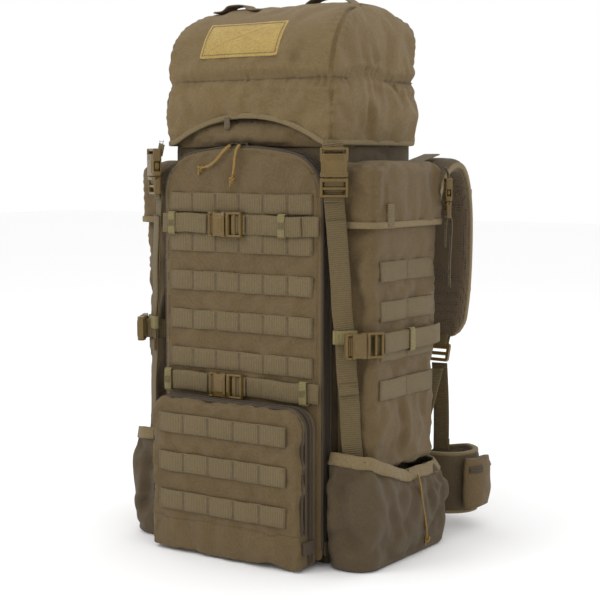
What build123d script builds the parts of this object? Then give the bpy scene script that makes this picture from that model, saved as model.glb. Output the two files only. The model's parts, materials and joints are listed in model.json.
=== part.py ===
"""Framed hunting backpack with a full-length zipped front panel, a hooded lid and side pouches.

Millimetres. +Z is up, the front panel faces -Y and the wearer's back is at +Y, so the wearer's
right is +X. The origin is on the ground at the middle of the footprint.
"""
from build123d import *
import os
from math import asin, cos, degrees, radians, sin, sqrt, tan

# ---- driving dimensions -------------------------------------------------------------------
WALL = 3.0                 # sewn fabric with its lining, as one skin
GAP = 0.4                  # air between pieces that move past each other
WEBBING = 25.0             # width of every narrow strap
TAPE = 2.0                 # thickness of that strap
CLEAR = 300.0              # reach of a cutting block past everything

BAG_HALF = 127.0
BAG_FRONT, BAG_BACK, BAG_TOP = -128.0, 65.0, 524.0
COLLAR_HEIGHT, COLLAR_TAPER = 42.0, 15.0

PANEL_HALF, PANEL_BOTTOM = 123.0, 8.0
PANEL_FRONT, PANEL_THICK = -151.0, 5.0
CROWN_TOP, CROWN_RADIUS, CROWN_CORNER = 521.0, 400.0, 42.0
ZIP_LINE = -138.0          # where the two halves of the main zip meet
ZIP_END = 16.0
ZIP_DEEP = 4.0

POCKET_HALF, POCKET_TOP, POCKET_BOTTOM = 117.0, 201.0, 3.0
POCKET_FRONT, POCKET_SPLIT = -192.0, -171.0
POCKET_CORNER, POCKET_FOLD = 26.0, 45.0

ROW_PITCH = 50.3
PANEL_ROW_BOTTOM, PANEL_ROWS, PANEL_ROW_HALF = 237.0, 5, 112.0
POCKET_ROWS, POCKET_ROW_BOTTOM, POCKET_ROW_HALF = 3, 56.0, 100.0

LID_HALF, LID_FRONT, LID_BACK = 132.0, -138.0, 69.0
LID_HEM, LID_TOP, LID_SEAM = 523.0, 699.0, 606.0
LID_FRONT_ROUND, LID_SIDE_ROUND, LID_CORNER = 88.0, 40.0, 18.0
HOOD_LEVELS = (0.0, 0.3, 0.55, 0.72, 0.86, 0.95, 1.0)   # shares of the front shoulder's height
LID_ARCH_HALF, LID_ARCH_TOP = 116.0, 557.0
LID_AXIS = (70.2, 492.0)   # y, z of the fold line that the lid turns about
PATCH_WIDTH, PATCH_MIDDLE, PATCH_ANGLES = 122.0, -13.0, (15.0, 49.0)

POUCH_OUT, POUCH_FRONT, POUCH_BACK = 180.0, -122.0, 38.0
POUCH_BOTTOM, POUCH_TOP = 118.0, 486.0
FLAP_OUT, FLAP_FRONT, FLAP_BACK = 187.0, -129.0, 46.0
FLAP_HEM, FLAP_TOP = 423.0, 500.0
SIDE_ROWS, SIDE_ROW_BOTTOM, SIDE_ROW_PITCH = 4, 209.0, 49.0

STOW_OUT, STOW_FRONT, STOW_BACK, STOW_NOTCH = 191.0, -150.0, 62.0, 19.0
STOW_TOP_FRONT, STOW_TOP_BACK = 148.0, 112.0

BUCKLE_HALF, BUCKLE_THICK = 17.0, 12.0
LID_BUCKLE_AT, LID_BUCKLE_TURN = (141.0, -149.5, 484.0), 35.0
TAB_LOW, TAB_HIGH = (136.7, -143.4, 511.0), (129.6, -140.4, 545.0)
STRAP_TOP_AT, STRAP_END_AT = (137.2, -144.1, 466.0), (163.0, -133.5, 100.0)
CROSS_UPPER_Z, CROSS_LOWER_Z = 424.0, 218.5
CROSS_BUCKLE_X, CROSS_BUCKLE_Y = -14.0, PANEL_FRONT - 9.0
SIDE_STRAP_Z = 281.0
SIDE_BUCKLE_AT, SIDE_BUCKLE_TURN = (176.5, -133.0, SIDE_STRAP_Z), 57.0
FLAP_BUCKLE_AT, FLAP_BUCKLE_TURN = (190.5, 45.0, 452.0), 124.5

SHEET_HALF, SHEET_BOTTOM, SHEET_TOP = 110.0, 30.0, 478.0
STAY_X, STAY_WIDE, STAY_THICK = 60.0, 25.0, 3.0
BACK_SKIN_HALF, BACK_SKIN_FRONT, BACK_SKIN_BACK = 116.0, 70.4, 76.0
BACK_SKIN_LOW, BACK_SKIN_HIGH = 22.0, 482.0
PAD_BACK = 92.0
UPRIGHT_PAD, UPRIGHT_CORNER = (22.0, 74.0, 150.0, 405.0), 16.0      # x from, x to, z from, z to
LUMBAR_PAD, LUMBAR_CORNER = (-80.0, 80.0, 30.0, 134.0), 22.0
GRIP_HALF, GRIP_LOW, GRIP_FRONT, GRIP_BACK = 48.0, 428.0, 86.0, 89.0
GRIP_TOP, GRIP_ROOT, GRIP_LEG = 478.0, 77.4, 12.0

HARNESS_IN, HARNESS_OUT, HARNESS_THICK = 84.0, 150.0, 16.0
HARNESS_PATH = [(86, 428), (98, 470), (128, 499), (166, 497),
                (184, 452), (186.4, 385), (181, 315), (164, 262)]

LOCK_IN, LOCK_OUT, LOCK_LONG, LOCK_THICK = 101.0, 135.0, 26.0, 5.0
LOCK_AT, LOCK_TILT, LOCK_SLOT = (0, 159.5, 249.5), -18.0, 4.5
ADJUSTER_TOP, ADJUSTER_FOOT = (118, 146.5, 214), (131, 69, 122)
TAIL_TOP, TAIL_FOOT = (118, 158.5, 221), (121, 160, 96)
LIFTER_FRONT, LIFTER_BACK = (117, 68.5, 500), (117, 133, 512.5)
CHEST_Z, CHEST_Y, CHEST_HALF_WIDE, CHEST_IN = 398.0, 176.3, 10.0, 34.0

WING_BOTTOM, WING_TOP, WING_THICK = 24.0, 104.0, 13.0
WING_PATH = [(97, 100), (140, 99), (176, 116), (184, 152), (156, 182), (92, 187.6)]
HIP_POCKET_PLAN = [(181, 104), (192, 108), (204, 124), (204, 150),
                   (196, 166), (190.8, 160), (191, 148), (184.6, 114)]

BELT_WEB = (47.0, 91.5, 186.4, 188.8, 45.0, 83.0)      # x, y and z from and to
BELT_BUCKLE_Y, BELT_BUCKLE_Z = 187.6, 64.0

CORD = 2.6
SLIDERS_MEET = -7.0
PULL_CORD_RIGHT = [(0.5, -151.2, 524.0), (0.0, -156.5, 522), (-2.0, -159, 509),
                   (-3.5, -158.5, 494), (-7, -157.5, 480)]
PULL_CORD_LEFT = [(-14.5, -151.2, 523.8), (-17, -156.5, 521), (-27, -159, 509),
                  (-41, -158, 498), (-58, -157, 494)]
STOW_CORD = [(193.2, -33, 106), (197.4, -34, 96), (197.8, -30, 72), (197.4, -20, 44), (197, -13, 18)]


# ---- shape helpers ------------------------------------------------------------------------
def block(x0, x1, y0, y1, z0, z1, corner=0.0):
    """A box between two corners, with its upright edges rounded."""
    box = Box(x1 - x0, y1 - y0, z1 - z0, align=(Align.MIN, Align.MIN, Align.MIN))
    if corner:
        box = fillet(box.edges().filter_by(Axis.Z), corner)
    return Pos(x0, y0, z0) * box


def mirrored(shape):
    """The same piece on the wearer's left."""
    return mirror(shape, Plane.YZ)


def facing_front(y):
    """The plane at this depth that looks to the front, with +X to the right and +Z up."""
    return Plane((0, y, 0), x_dir=(1, 0, 0), z_dir=(0, -1, 0))


def facing_side(x):
    """The plane at this x that looks along +X, with +Y to the right and +Z up."""
    return Plane((x, 0, 0), x_dir=(0, 1, 0), z_dir=(1, 0, 0))


def band(points, radii, thick, x0, x1):
    """A band of even thickness along a path in Y and Z, from x0 to x1."""
    return extrude(facing_side(x0) * trace(FilletPolyline(*points, radius=radii), thick), x1 - x0)


def flat_band(points, radii, thick, z0, z1):
    """An upright band along a path in X and Y, from z0 to z1."""
    return Pos(0, 0, z0) * extrude(trace(FilletPolyline(*points, radius=radii), thick), z1 - z0)


def bends(points, share=0.45):
    """The radius of each bend in a path: a share of its shorter run over the half turn's tangent."""
    radii = []
    for before, here, after in zip(points, points[1:], points[2:]):
        came, goes = Vector(*here) - Vector(*before), Vector(*after) - Vector(*here)
        half_turn = radians(came.get_angle(goes)) / 2
        radii.append(share * min(came.length, goes.length) / tan(half_turn))
    return radii


def ribbon(start, end, turn, wide, thick):
    """A straight strap between two points, whose width lies level at this angle from +X."""
    a, b = Vector(*start), Vector(*end)
    along = (b - a).normalized()
    across = Vector(cos(radians(turn)), sin(radians(turn)), 0)
    place = Plane(a, x_dir=across, z_dir=along)
    return extrude(place * Rectangle(wide, thick), (b - a).length)


def rounded_corner(face, x, y, radius):
    """The face with the corner nearest to x, y rounded."""
    nearest = min(face.vertices(), key=lambda v: (v.X - x) ** 2 + (v.Y - y) ** 2)
    return fillet(nearest, radius)


# ---- outlines -----------------------------------------------------------------------------
def crown_outline(inset=0.0):
    """The front panel's outline: straight sides and a low crown with rounded shoulders."""
    half, radius, top = PANEL_HALF - inset, CROWN_RADIUS - inset, CROWN_TOP - inset
    shoulder = top - radius + sqrt(radius ** 2 - half ** 2)
    low = PANEL_BOTTOM + inset
    crown = ThreePointArc((-half, shoulder), (0, top), (half, shoulder))
    sides = Polyline((half, shoulder), (half, low), (-half, low), (-half, shoulder))
    face = make_face(Curve() + [crown, sides])
    for side in (-half, half):
        face = rounded_corner(face, side, shoulder, CROWN_CORNER - inset)
    return face


def crown_ring(y0, y1, deep):
    """A band that follows the crown outline between two depths, open at its foot."""
    ring = extrude(facing_front(y1) * (crown_outline() - crown_outline(deep)), y1 - y0)
    return ring - block(-PANEL_HALF * 2, PANEL_HALF * 2, y0 - 1, y1 + 1, 0, ZIP_END)


def pocket_outline(inset=0.0):
    """The lower pocket's outline, with two rounded upper corners."""
    half, low, top = POCKET_HALF - inset, POCKET_BOTTOM + inset, POCKET_TOP - inset
    face = make_face(Polyline((-half, low), (half, low), (half, top), (-half, top), (-half, low)))
    for side in (-half, half):
        face = rounded_corner(face, side, top, POCKET_CORNER - inset)
    return face


def pocket_solid(y0, y1, inset=0.0):
    """The lower pocket's outline carried from one depth to another."""
    return extrude(facing_front(y1) * pocket_outline(inset), y1 - y0)


def round_inset(z, top, radius):
    """How far a wall that rounds over into the top has drawn in at height z."""
    return radius - sqrt(radius ** 2 - max(0.0, z - top + radius) ** 2)


def hood(inset=0.0):
    """The lid's outer form: a boxy hood with a long sloping front shoulder."""
    top = LID_TOP - inset
    rise = [LID_HEM - 20 - top] + [LID_FRONT_ROUND * (share - 1) for share in HOOD_LEVELS]
    sections = []
    for z in (top + drop for drop in rise):
        side = round_inset(z, top, LID_SIDE_ROUND)
        front = LID_FRONT + inset + round_inset(z, top, LID_FRONT_ROUND)
        back = LID_BACK - inset - side
        place = Plane((0, (front + back) / 2, z))
        corner = max(LID_CORNER - inset, 4)
        sections.append(place * RectangleRounded(2 * (LID_HALF - inset - side), back - front, corner))
    return loft(sections, ruled=True)


# ---- buckle halves, drawn with the release along +Z and the face towards -Y ------------------
def buckle_socket(half=BUCKLE_HALF, thick=BUCKLE_THICK, deep=24.0, length=36.0):
    """The socket half: a flat sleeve with two side windows and a bar for its strap."""
    body = block(-half, half, -thick / 2, thick / 2, 0, length)
    body = fillet(body.edges().filter_by(Axis.Y), 4)
    body -= block(-half + 3, half - 3, -thick / 2 + 1.5, thick / 2 - 1.5, -1, deep)
    body -= block(-half - 1, half + 1, -thick / 2 + 3, thick / 2 - 3, 7, deep - 4)
    return body - block(-half + 4, half - 4, -thick, thick, length - 8, length - 4)


def buckle_plug(half=BUCKLE_HALF, thick=BUCKLE_THICK, reach=19.0, length=24.0):
    """The plug half: a frame with two strap slots, a guide tongue and two latch arms."""
    frame = block(-half, half, -thick / 2 + 1, thick / 2 - 1, -length, -GAP)
    frame = fillet(frame.edges().filter_by(Axis.Y), 3)
    for low in (-length + 3.5, -length + 12.5):
        frame -= block(-half + 3.5, half - 3.5, -thick, thick, low, low + 4.5)
    prong = thick / 2 - 3.2
    frame += block(-2.5, 2.5, -prong, prong, -1, reach + 1)
    for side in (-1, 1):
        edge = sorted((side * (half - 9), side * (half - 5)))
        frame += block(edge[0], edge[1], -prong, prong, -1, reach)
    return frame


def placed(shape, at, turn, roll=0.0):
    """Turn a buckle half about Z to face outwards, roll it about its face, and put it in place."""
    return Pos(*at) * Rot(0, 0, turn) * Rot(0, roll, 0) * shape


# ---- main compartment ---------------------------------------------------------------------
def main_compartment():
    """The tall bag, open at the top and through the zipped front."""
    bag = block(-BAG_HALF, BAG_HALF, BAG_FRONT, BAG_BACK, 0, BAG_TOP, 16)
    bag -= block(-BAG_HALF + WALL, BAG_HALF - WALL, BAG_FRONT + WALL, BAG_BACK - WALL,
                 WALL + 1, BAG_TOP + 1, 13)
    return bag - extrude(facing_front(BAG_FRONT + 2 * WALL) * crown_outline(9), 4 * WALL)


def storm_collar():
    """The gathered collar that rises from the bag's rim under the lid."""
    deep, middle = BAG_BACK - BAG_FRONT, (BAG_BACK + BAG_FRONT) / 2
    base = Plane((0, middle, BAG_TOP))
    outer = extrude(base * RectangleRounded(2 * BAG_HALF, deep, 16), COLLAR_HEIGHT, taper=COLLAR_TAPER)
    inner = RectangleRounded(2 * (BAG_HALF - WALL), deep - 2 * WALL, 13)
    return outer - extrude(base * inner, COLLAR_HEIGHT + 1, taper=COLLAR_TAPER)


def frame_sheet():
    """The stiffening sheet behind the bag, with a lightening window."""
    sheet = block(-SHEET_HALF, SHEET_HALF, BAG_BACK + 0.2, BAG_BACK + 2.2, SHEET_BOTTOM, SHEET_TOP)
    return fillet(sheet.edges().filter_by(Axis.Y), 20)


def frame_stays():
    """Two flat aluminium bars that carry the load to the hip belt."""
    front = BAG_BACK + 2.2
    bar = block(STAY_X - STAY_WIDE / 2, STAY_X + STAY_WIDE / 2, front, front + STAY_THICK,
                SHEET_BOTTOM + 6, SHEET_TOP - 6)
    bar = fillet(bar.edges().filter_by(Axis.Y), 10)
    return Compound([bar, mirrored(bar)])


def back_skin():
    """The fabric panel against the wearer's back, which the harness is sewn to."""
    skin = block(-BACK_SKIN_HALF, BACK_SKIN_HALF, BACK_SKIN_FRONT, BACK_SKIN_BACK,
                 BACK_SKIN_LOW, BACK_SKIN_HIGH)
    return fillet(skin.edges().filter_by(Axis.Y), 18)


def back_pads():
    """Two upright pads and the lumbar pad."""
    x0, x1, z0, z1 = UPRIGHT_PAD
    upright = block(x0, x1, BACK_SKIN_BACK, PAD_BACK, z0, z1)
    upright = fillet(upright.edges().filter_by(Axis.Y), UPRIGHT_CORNER)
    x0, x1, z0, z1 = LUMBAR_PAD
    lumbar = block(x0, x1, BACK_SKIN_BACK, PAD_BACK, z0, z1)
    lumbar = fillet(lumbar.edges().filter_by(Axis.Y), LUMBAR_CORNER)
    return Compound([upright, mirrored(upright), lumbar])


def haul_handle():
    """The carrying loop at the top of the back, lying down."""
    grip = block(-GRIP_HALF, GRIP_HALF, GRIP_FRONT, GRIP_BACK, GRIP_LOW, GRIP_LOW + WEBBING)
    for side in (-1, 1):
        leg = sorted((side * GRIP_HALF, side * (GRIP_HALF - GRIP_LEG)))
        grip += block(leg[0], leg[1], GRIP_FRONT, GRIP_BACK, GRIP_LOW, GRIP_TOP)
        grip += block(leg[0], leg[1], GRIP_ROOT, GRIP_BACK, GRIP_TOP - WALL, GRIP_TOP)
    return grip


# ---- front panel --------------------------------------------------------------------------
def front_panel():
    """The padded front that the main zip frees on three sides."""
    return extrude(facing_front(PANEL_FRONT + PANEL_THICK) * crown_outline(), PANEL_THICK)


def main_zip_panel():
    """The half of the main zip that is sewn round the panel."""
    return crown_ring(PANEL_FRONT + PANEL_THICK, ZIP_LINE - 0.3, ZIP_DEEP)


def main_zip_bag():
    """The half of the main zip that is sewn to the bag."""
    return crown_ring(ZIP_LINE + 0.3, BAG_FRONT, ZIP_DEEP)


def strap_rows(count, bottom, pitch, half, face):
    """Level rows of load-bearing webbing on a face that looks to the front."""
    rows = [block(-half, half, face - TAPE, face, bottom + pitch * n, bottom + pitch * n + WEBBING)
            for n in range(count)]
    return Compound(rows)


def cross_straps():
    """The two front compression straps, each in two lengths, with their elastic keepers."""
    face = PANEL_FRONT - TAPE
    pieces = []
    for z in (CROSS_UPPER_Z, CROSS_LOWER_Z):
        low, high = z - WEBBING / 2, z + WEBBING / 2
        for x0, x1 in ((-PANEL_HALF + 1, CROSS_BUCKLE_X - 27), (CROSS_BUCKLE_X + 29, PANEL_HALF - 1)):
            pieces.append(block(x0, x1, face - TAPE - 0.8, face - 0.8, low, high))
    return Compound(pieces)


def keeper(x, y, z, wide=11.0, high=29.0):
    """An elastic sleeve round a level strap."""
    ring = block(x - wide / 2, x + wide / 2, y - 4.2, y + 0.1, z - high / 2, z + high / 2)
    return ring - block(x - wide, x + wide, y - 3.2, y - 0.3, z - high / 2 + 1.4, z + high / 2 - 1.4)


def cross_keepers():
    """Four keepers that hold the loose ends of the front straps."""
    face = PANEL_FRONT - TAPE - 0.2
    spots = [(-104, CROSS_UPPER_Z), (70, CROSS_UPPER_Z), (-112, CROSS_LOWER_Z), (102, CROSS_LOWER_Z)]
    return Compound([keeper(x, face, z) for x, z in spots])


def cross_sockets():
    """The socket halves of the two front buckles."""
    half = [placed(buckle_socket(16, 10, 20, 27), (CROSS_BUCKLE_X, CROSS_BUCKLE_Y, z), 0, -90)
            for z in (CROSS_UPPER_Z, CROSS_LOWER_Z)]
    return Compound(half)


def cross_plug(z):
    """The plug half of a front buckle, which pulls out to the right."""
    return placed(buckle_plug(16, 10, 16, 24), (CROSS_BUCKLE_X, CROSS_BUCKLE_Y, z), 0, -90)


def pocket_base():
    """The part of the lower pocket behind its zip, with the fixed foot below the fold."""
    rear = pocket_solid(POCKET_SPLIT + GAP, PANEL_FRONT)
    rear -= pocket_solid(POCKET_SPLIT - 1, PANEL_FRONT + 1, WALL)
    below = block(-CLEAR, CLEAR, POCKET_FRONT, 0, 0, POCKET_FOLD - GAP)
    foot = pocket_solid(POCKET_FRONT, POCKET_SPLIT + GAP) & below
    return rear + (foot - pocket_solid(POCKET_FRONT + WALL, 0, WALL))


def pocket_flap():
    """The front of the lower pocket, which the pocket's zip frees."""
    cap = pocket_solid(POCKET_FRONT, POCKET_SPLIT) - pocket_solid(POCKET_FRONT + WALL, 0, WALL)
    return cap & block(-CLEAR, CLEAR, POCKET_FRONT - 1, POCKET_SPLIT, POCKET_FOLD, CLEAR)


def pocket_zip():
    """The pocket's zip, a raised band on the flap's rim."""
    rim = pocket_solid(POCKET_SPLIT - 7, POCKET_SPLIT - 1, -1.6) - pocket_solid(-CLEAR, 0)
    return rim & block(-CLEAR, CLEAR, -CLEAR, 0, POCKET_FOLD, CLEAR)


def main_slider(side):
    """A slider on the crown of the main zip, with its wire bail."""
    body = block(-6.5, 6.5, ZIP_LINE - 5.5, ZIP_LINE + 5.5, CROWN_TOP + 0.6, CROWN_TOP + 5.6)
    body = fillet(body.edges().filter_by(Axis.Z), 2.5)
    bail = block(-2.5, 2.5, ZIP_LINE - 12.5, ZIP_LINE - 5, CROWN_TOP + 2.2, CROWN_TOP + 4.6)
    turn = degrees(asin((SLIDERS_MEET + side * 7.5) / CROWN_RADIUS))
    centre = Pos(0, 0, CROWN_TOP - CROWN_RADIUS)
    return centre * Rot(0, turn, 0) * centre.inverse() * (body + bail)


# ---- lid ----------------------------------------------------------------------------------
def lid_shell():
    """The hooded lid, open below, with an arched front hem."""
    shell = hood() - hood(WALL + 0.5)
    hem = block(-CLEAR, CLEAR, -CLEAR, CLEAR, LID_HEM - 40, LID_HEM)
    left, right = (-LID_ARCH_HALF, LID_HEM), (LID_ARCH_HALF, LID_HEM)
    arch = make_face(Curve() + [ThreePointArc(left, (0, LID_ARCH_TOP), right), Line(right, left)])
    arch = extrude(facing_front(LID_FRONT + 30) * arch, 60)
    rear = block(-CLEAR, CLEAR, LID_BACK - 30, LID_BACK + 10, LID_HEM - 1, LID_HEM + 7)
    return shell - hem - arch - rear


def lid_floor():
    """The inner floor that closes the lid's own pocket."""
    return hood(WALL + 0.9) & block(-CLEAR, CLEAR, -CLEAR, CLEAR, LID_SEAM, LID_SEAM + TAPE)


def lid_patch():
    """The hook-and-loop field on the lid's sloping shoulder."""
    reach = LID_FRONT_ROUND
    middle = Pos(0, LID_FRONT + reach, LID_TOP - reach)
    ring = Cylinder(reach + 1.8, PATCH_WIDTH) - Cylinder(reach + 0.3, PATCH_WIDTH)
    ring = Rot(0, 90, 0) * ring
    rays = [(-2 * reach * cos(radians(a)), 2 * reach * sin(radians(a))) for a in PATCH_ANGLES]
    wedge = extrude(facing_side(-PATCH_WIDTH) * make_face(Polyline((0, 0), *rays, (0, 0))), 2 * PATCH_WIDTH)
    return Pos(PATCH_MIDDLE, 0, 0) * middle * (ring & wedge)


def top_loop(x, y, long, high):
    """A webbing grab loop that stands a little off the lid."""
    foot = 12.0
    path = [(-long / 2, 1.2), (-long / 2 + foot, 1.2), (-long / 2 + foot + high, high),
            (long / 2 - foot - high, high), (long / 2 - foot, 1.2), (long / 2, 1.2)]
    face = trace(FilletPolyline(*path, radius=4), TAPE)
    return Pos(x, 0, LID_TOP) * extrude(facing_front(y + WEBBING / 2) * face, WEBBING)


def lid_webbing():
    """Two grab loops on top, two rear fold tabs and the two tabs that hold the sockets."""
    pieces = [top_loop(-70, -54, 72, 9), top_loop(56, -26, 104, 15)]
    for side in (-1, 1):
        tab = sorted((side * 65, side * 95))
        pieces.append(block(tab[0], tab[1], LID_AXIS[0] - TAPE / 2, LID_AXIS[0] + TAPE / 2,
                            LID_AXIS[1] + 1, LID_HEM + 34))
        strap = ribbon(TAB_LOW, TAB_HIGH, LID_BUCKLE_TURN, WEBBING, TAPE)
        pieces.append(strap if side > 0 else mirrored(strap))
    return Compound(pieces)


def lid_sockets():
    """The socket halves of the two lid buckles."""
    socket = placed(buckle_socket(), LID_BUCKLE_AT, LID_BUCKLE_TURN)
    return Compound([socket, mirrored(socket)])


def lid_plug():
    """The plug half of the right lid buckle."""
    return placed(buckle_plug(), LID_BUCKLE_AT, LID_BUCKLE_TURN)


def lid_straps():
    """The two long straps that pull the lid down, with an elastic keeper on each."""
    strap = ribbon(STRAP_TOP_AT, STRAP_END_AT, LID_BUCKLE_TURN, WEBBING, TAPE)
    top, run = Vector(*STRAP_TOP_AT), Vector(*STRAP_END_AT) - Vector(*STRAP_TOP_AT)
    hoop = ribbon(top + run * 0.46, top + run * 0.51, LID_BUCKLE_TURN, WEBBING + 4, TAPE + 3)
    hoop -= ribbon(top + run * 0.45, top + run * 0.52, LID_BUCKLE_TURN, WEBBING + 1, TAPE + 0.6)
    return Compound([strap, hoop, mirrored(strap), mirrored(hoop)])


# ---- side pouches -------------------------------------------------------------------------
def side_pouch():
    """The tall pouch on the wearer's right, open at the top under its flap."""
    pouch = block(BAG_HALF, POUCH_OUT, POUCH_FRONT, POUCH_BACK, POUCH_BOTTOM, POUCH_TOP)
    pouch = fillet(pouch.edges().filter_by(Axis.Z).sort_by(Axis.X)[-2:], 14)
    void = block(BAG_HALF + WALL, POUCH_OUT - WALL, POUCH_FRONT + WALL, POUCH_BACK - WALL,
                 POUCH_BOTTOM + WALL, POUCH_TOP + 1)
    return pouch - fillet(void.edges().filter_by(Axis.Z).sort_by(Axis.X)[-2:], 11)


def side_flap():
    """The hooded flap of the right pouch."""
    inner = BAG_HALF + 0.8
    cap = block(inner, FLAP_OUT, FLAP_FRONT, FLAP_BACK, FLAP_HEM, FLAP_TOP)
    cap = fillet(cap.edges().filter_by(Axis.Z).sort_by(Axis.X)[-2:], 18)
    void = block(inner - 1, FLAP_OUT - WALL, FLAP_FRONT + WALL, FLAP_BACK - WALL,
                 FLAP_HEM - 1, FLAP_TOP - WALL)
    return cap - fillet(void.edges().filter_by(Axis.Z).sort_by(Axis.X)[-2:], 15)


def side_rows():
    """Rows of webbing on the outside of both pouches."""
    rows = [block(POUCH_OUT, POUCH_OUT + TAPE, POUCH_FRONT + 16, POUCH_BACK - 16,
                  SIDE_ROW_BOTTOM + SIDE_ROW_PITCH * n, SIDE_ROW_BOTTOM + SIDE_ROW_PITCH * n + WEBBING)
            for n in range(SIDE_ROWS)]
    return Compound(rows + [mirrored(row) for row in rows])


def flap_buckle():
    """The slim buckle at the rear corner of the right flap, closed."""
    at = FLAP_BUCKLE_AT
    socket = placed(buckle_socket(15, 9, 20, 30), at, FLAP_BUCKLE_TURN)
    plug = placed(buckle_plug(15, 9, 15, 22), at, FLAP_BUCKLE_TURN)
    return Compound([socket, plug])


def stow_pocket():
    """The open pocket at the foot of the right side, which holds long gear upright."""
    plan = make_face(Polyline(
        (BAG_HALF, STOW_FRONT + STOW_NOTCH), (BAG_HALF + STOW_NOTCH, STOW_FRONT), (STOW_OUT, STOW_FRONT),
        (STOW_OUT, STOW_BACK), (BAG_HALF, STOW_BACK), (BAG_HALF, STOW_FRONT + STOW_NOTCH)))
    plan = rounded_corner(rounded_corner(plan, STOW_OUT, STOW_FRONT, 30), STOW_OUT, STOW_BACK, 30)
    pocket = extrude(plan, STOW_TOP_FRONT)
    pocket -= Pos(0, 0, WALL) * extrude(offset(plan, -WALL), STOW_TOP_FRONT)
    pocket -= block(BAG_HALF - 1, BAG_HALF + WALL + 1, STOW_FRONT + STOW_NOTCH + 2 * WALL, STOW_BACK - WALL,
                    WALL, STOW_TOP_FRONT + 1)
    front, back, high = STOW_FRONT - 1, STOW_BACK + 1, STOW_TOP_FRONT + 1
    above = Polyline((front, STOW_TOP_FRONT), (STOW_FRONT + 95, STOW_TOP_BACK), (back, STOW_TOP_BACK),
                     (back, high), (front, high), (front, STOW_TOP_FRONT))
    return pocket - extrude(facing_side(BAG_HALF - 10) * make_face(above), 100)


# ---- side compression ---------------------------------------------------------------------
def side_straps():
    """The compression straps across both pouches."""
    path = [(186.4, -106), (186.4, POUCH_BACK - 6), (176, POUCH_BACK + 6), (BAG_HALF + 1.2, POUCH_BACK + 8)]
    strap = flat_band(path, [12, 8], TAPE, SIDE_STRAP_Z - WEBBING / 2, SIDE_STRAP_Z + WEBBING / 2)
    return Compound([strap, mirrored(strap)])


def side_socket():
    """The socket half of the right compression buckle, at the pouch's front corner."""
    return placed(buckle_socket(16, 10, 20, 27), SIDE_BUCKLE_AT, SIDE_BUCKLE_TURN, -90)


def side_plug():
    """The plug half of the right compression buckle."""
    return placed(buckle_plug(16, 10, 16, 24), SIDE_BUCKLE_AT, SIDE_BUCKLE_TURN, -90)


# ---- harness ------------------------------------------------------------------------------
def shoulder_strap():
    """The padded right shoulder strap, bowed away from the back."""
    return band(HARNESS_PATH, bends(HARNESS_PATH, 0.42), HARNESS_THICK, HARNESS_IN, HARNESS_OUT)


def strap_lock():
    """The ladder lock at the foot of the right shoulder strap."""
    rim = 4.0
    lock = block(LOCK_IN, LOCK_OUT, -LOCK_THICK / 2, LOCK_THICK / 2, -LOCK_LONG, 0)
    lock = fillet(lock.edges().filter_by(Axis.Y), rim)
    for low in (rim - LOCK_LONG, LOCK_THICK + 2 * rim - LOCK_LONG):
        lock -= block(LOCK_IN + rim, LOCK_OUT - rim, -LOCK_THICK, LOCK_THICK, low, low + LOCK_SLOT)
    return Pos(*LOCK_AT) * Rot(LOCK_TILT, 0, 0) * lock


def harness_webbing():
    """The right adjuster strap to the foot of the bag, its loose tail, and the load lifter."""
    adjuster = ribbon(ADJUSTER_TOP, ADJUSTER_FOOT, 0, WEBBING, TAPE)
    tail = ribbon(TAIL_TOP, TAIL_FOOT, 0, WEBBING, TAPE)
    lifter = ribbon(LIFTER_FRONT, LIFTER_BACK, 0, WEBBING, TAPE)
    return Compound([adjuster, tail, lifter])


def sternum_half(side):
    """Half of the chest strap: its webbing and its half of the buckle, unclipped."""
    webbing = block(CHEST_IN, HARNESS_OUT + 2, CHEST_Y - TAPE, CHEST_Y,
                    CHEST_Z - CHEST_HALF_WIDE, CHEST_Z + CHEST_HALF_WIDE)
    depth = CHEST_Y - 7.5
    if side > 0:
        half = placed(buckle_socket(12, 8, 15, 21), (15, depth, CHEST_Z), 0, 90)
    else:
        half = placed(buckle_plug(12, 8, 12, 18), (16, depth, CHEST_Z), 0, -90)
    return Compound([webbing, half])


def hip_wing():
    """The padded right wing of the hip belt."""
    return flat_band(WING_PATH, bends(WING_PATH, 0.44), WING_THICK, WING_BOTTOM, WING_TOP)


def hip_pocket():
    """The zipped pocket on the right wing, hollow, with its mouth along the top edge."""
    plan = make_face(Polyline(*HIP_POCKET_PLAN, HIP_POCKET_PLAN[0]))
    low, high = WING_BOTTOM + 8, WING_TOP - 4
    body = Pos(0, 0, low) * extrude(plan, high - low)
    void = Pos(0, 0, low + 2) * extrude(offset(plan, -2), high - low - 4)
    mouth = Pos(0, 0, high - 4) * extrude(offset(plan, -3.2), 8)
    return body - void - mouth


def belt_end(side):
    """One length of the belt's webbing with its half of the buckle at the end."""
    if side > 0:
        half = placed(buckle_socket(26, 12, 28, 40), (6, BELT_BUCKLE_Y, BELT_BUCKLE_Z), 0, 90)
    else:
        half = placed(buckle_plug(26, 12, 22, 30), (22, BELT_BUCKLE_Y, BELT_BUCKLE_Z), 0, -90)
    return Compound([block(*BELT_WEB), half])


# ---- cords --------------------------------------------------------------------------------
def cord_tube(points):
    """A cord along straight runs joined by arcs, with the radius of each arc reported."""
    radii = bends(points)
    path = FilletPolyline(*points, radius=radii)
    print("cord radii", [round(r, 1) for r in radii], "length", round(path.length, 1))
    return sweep(Plane(path @ 0, z_dir=path % 0) * Circle(CORD / 2), path)


def stow_cord():
    """The loose end of the right stow pocket's drawcord, down to its knot."""
    return cord_tube(STOW_CORD)


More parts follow.
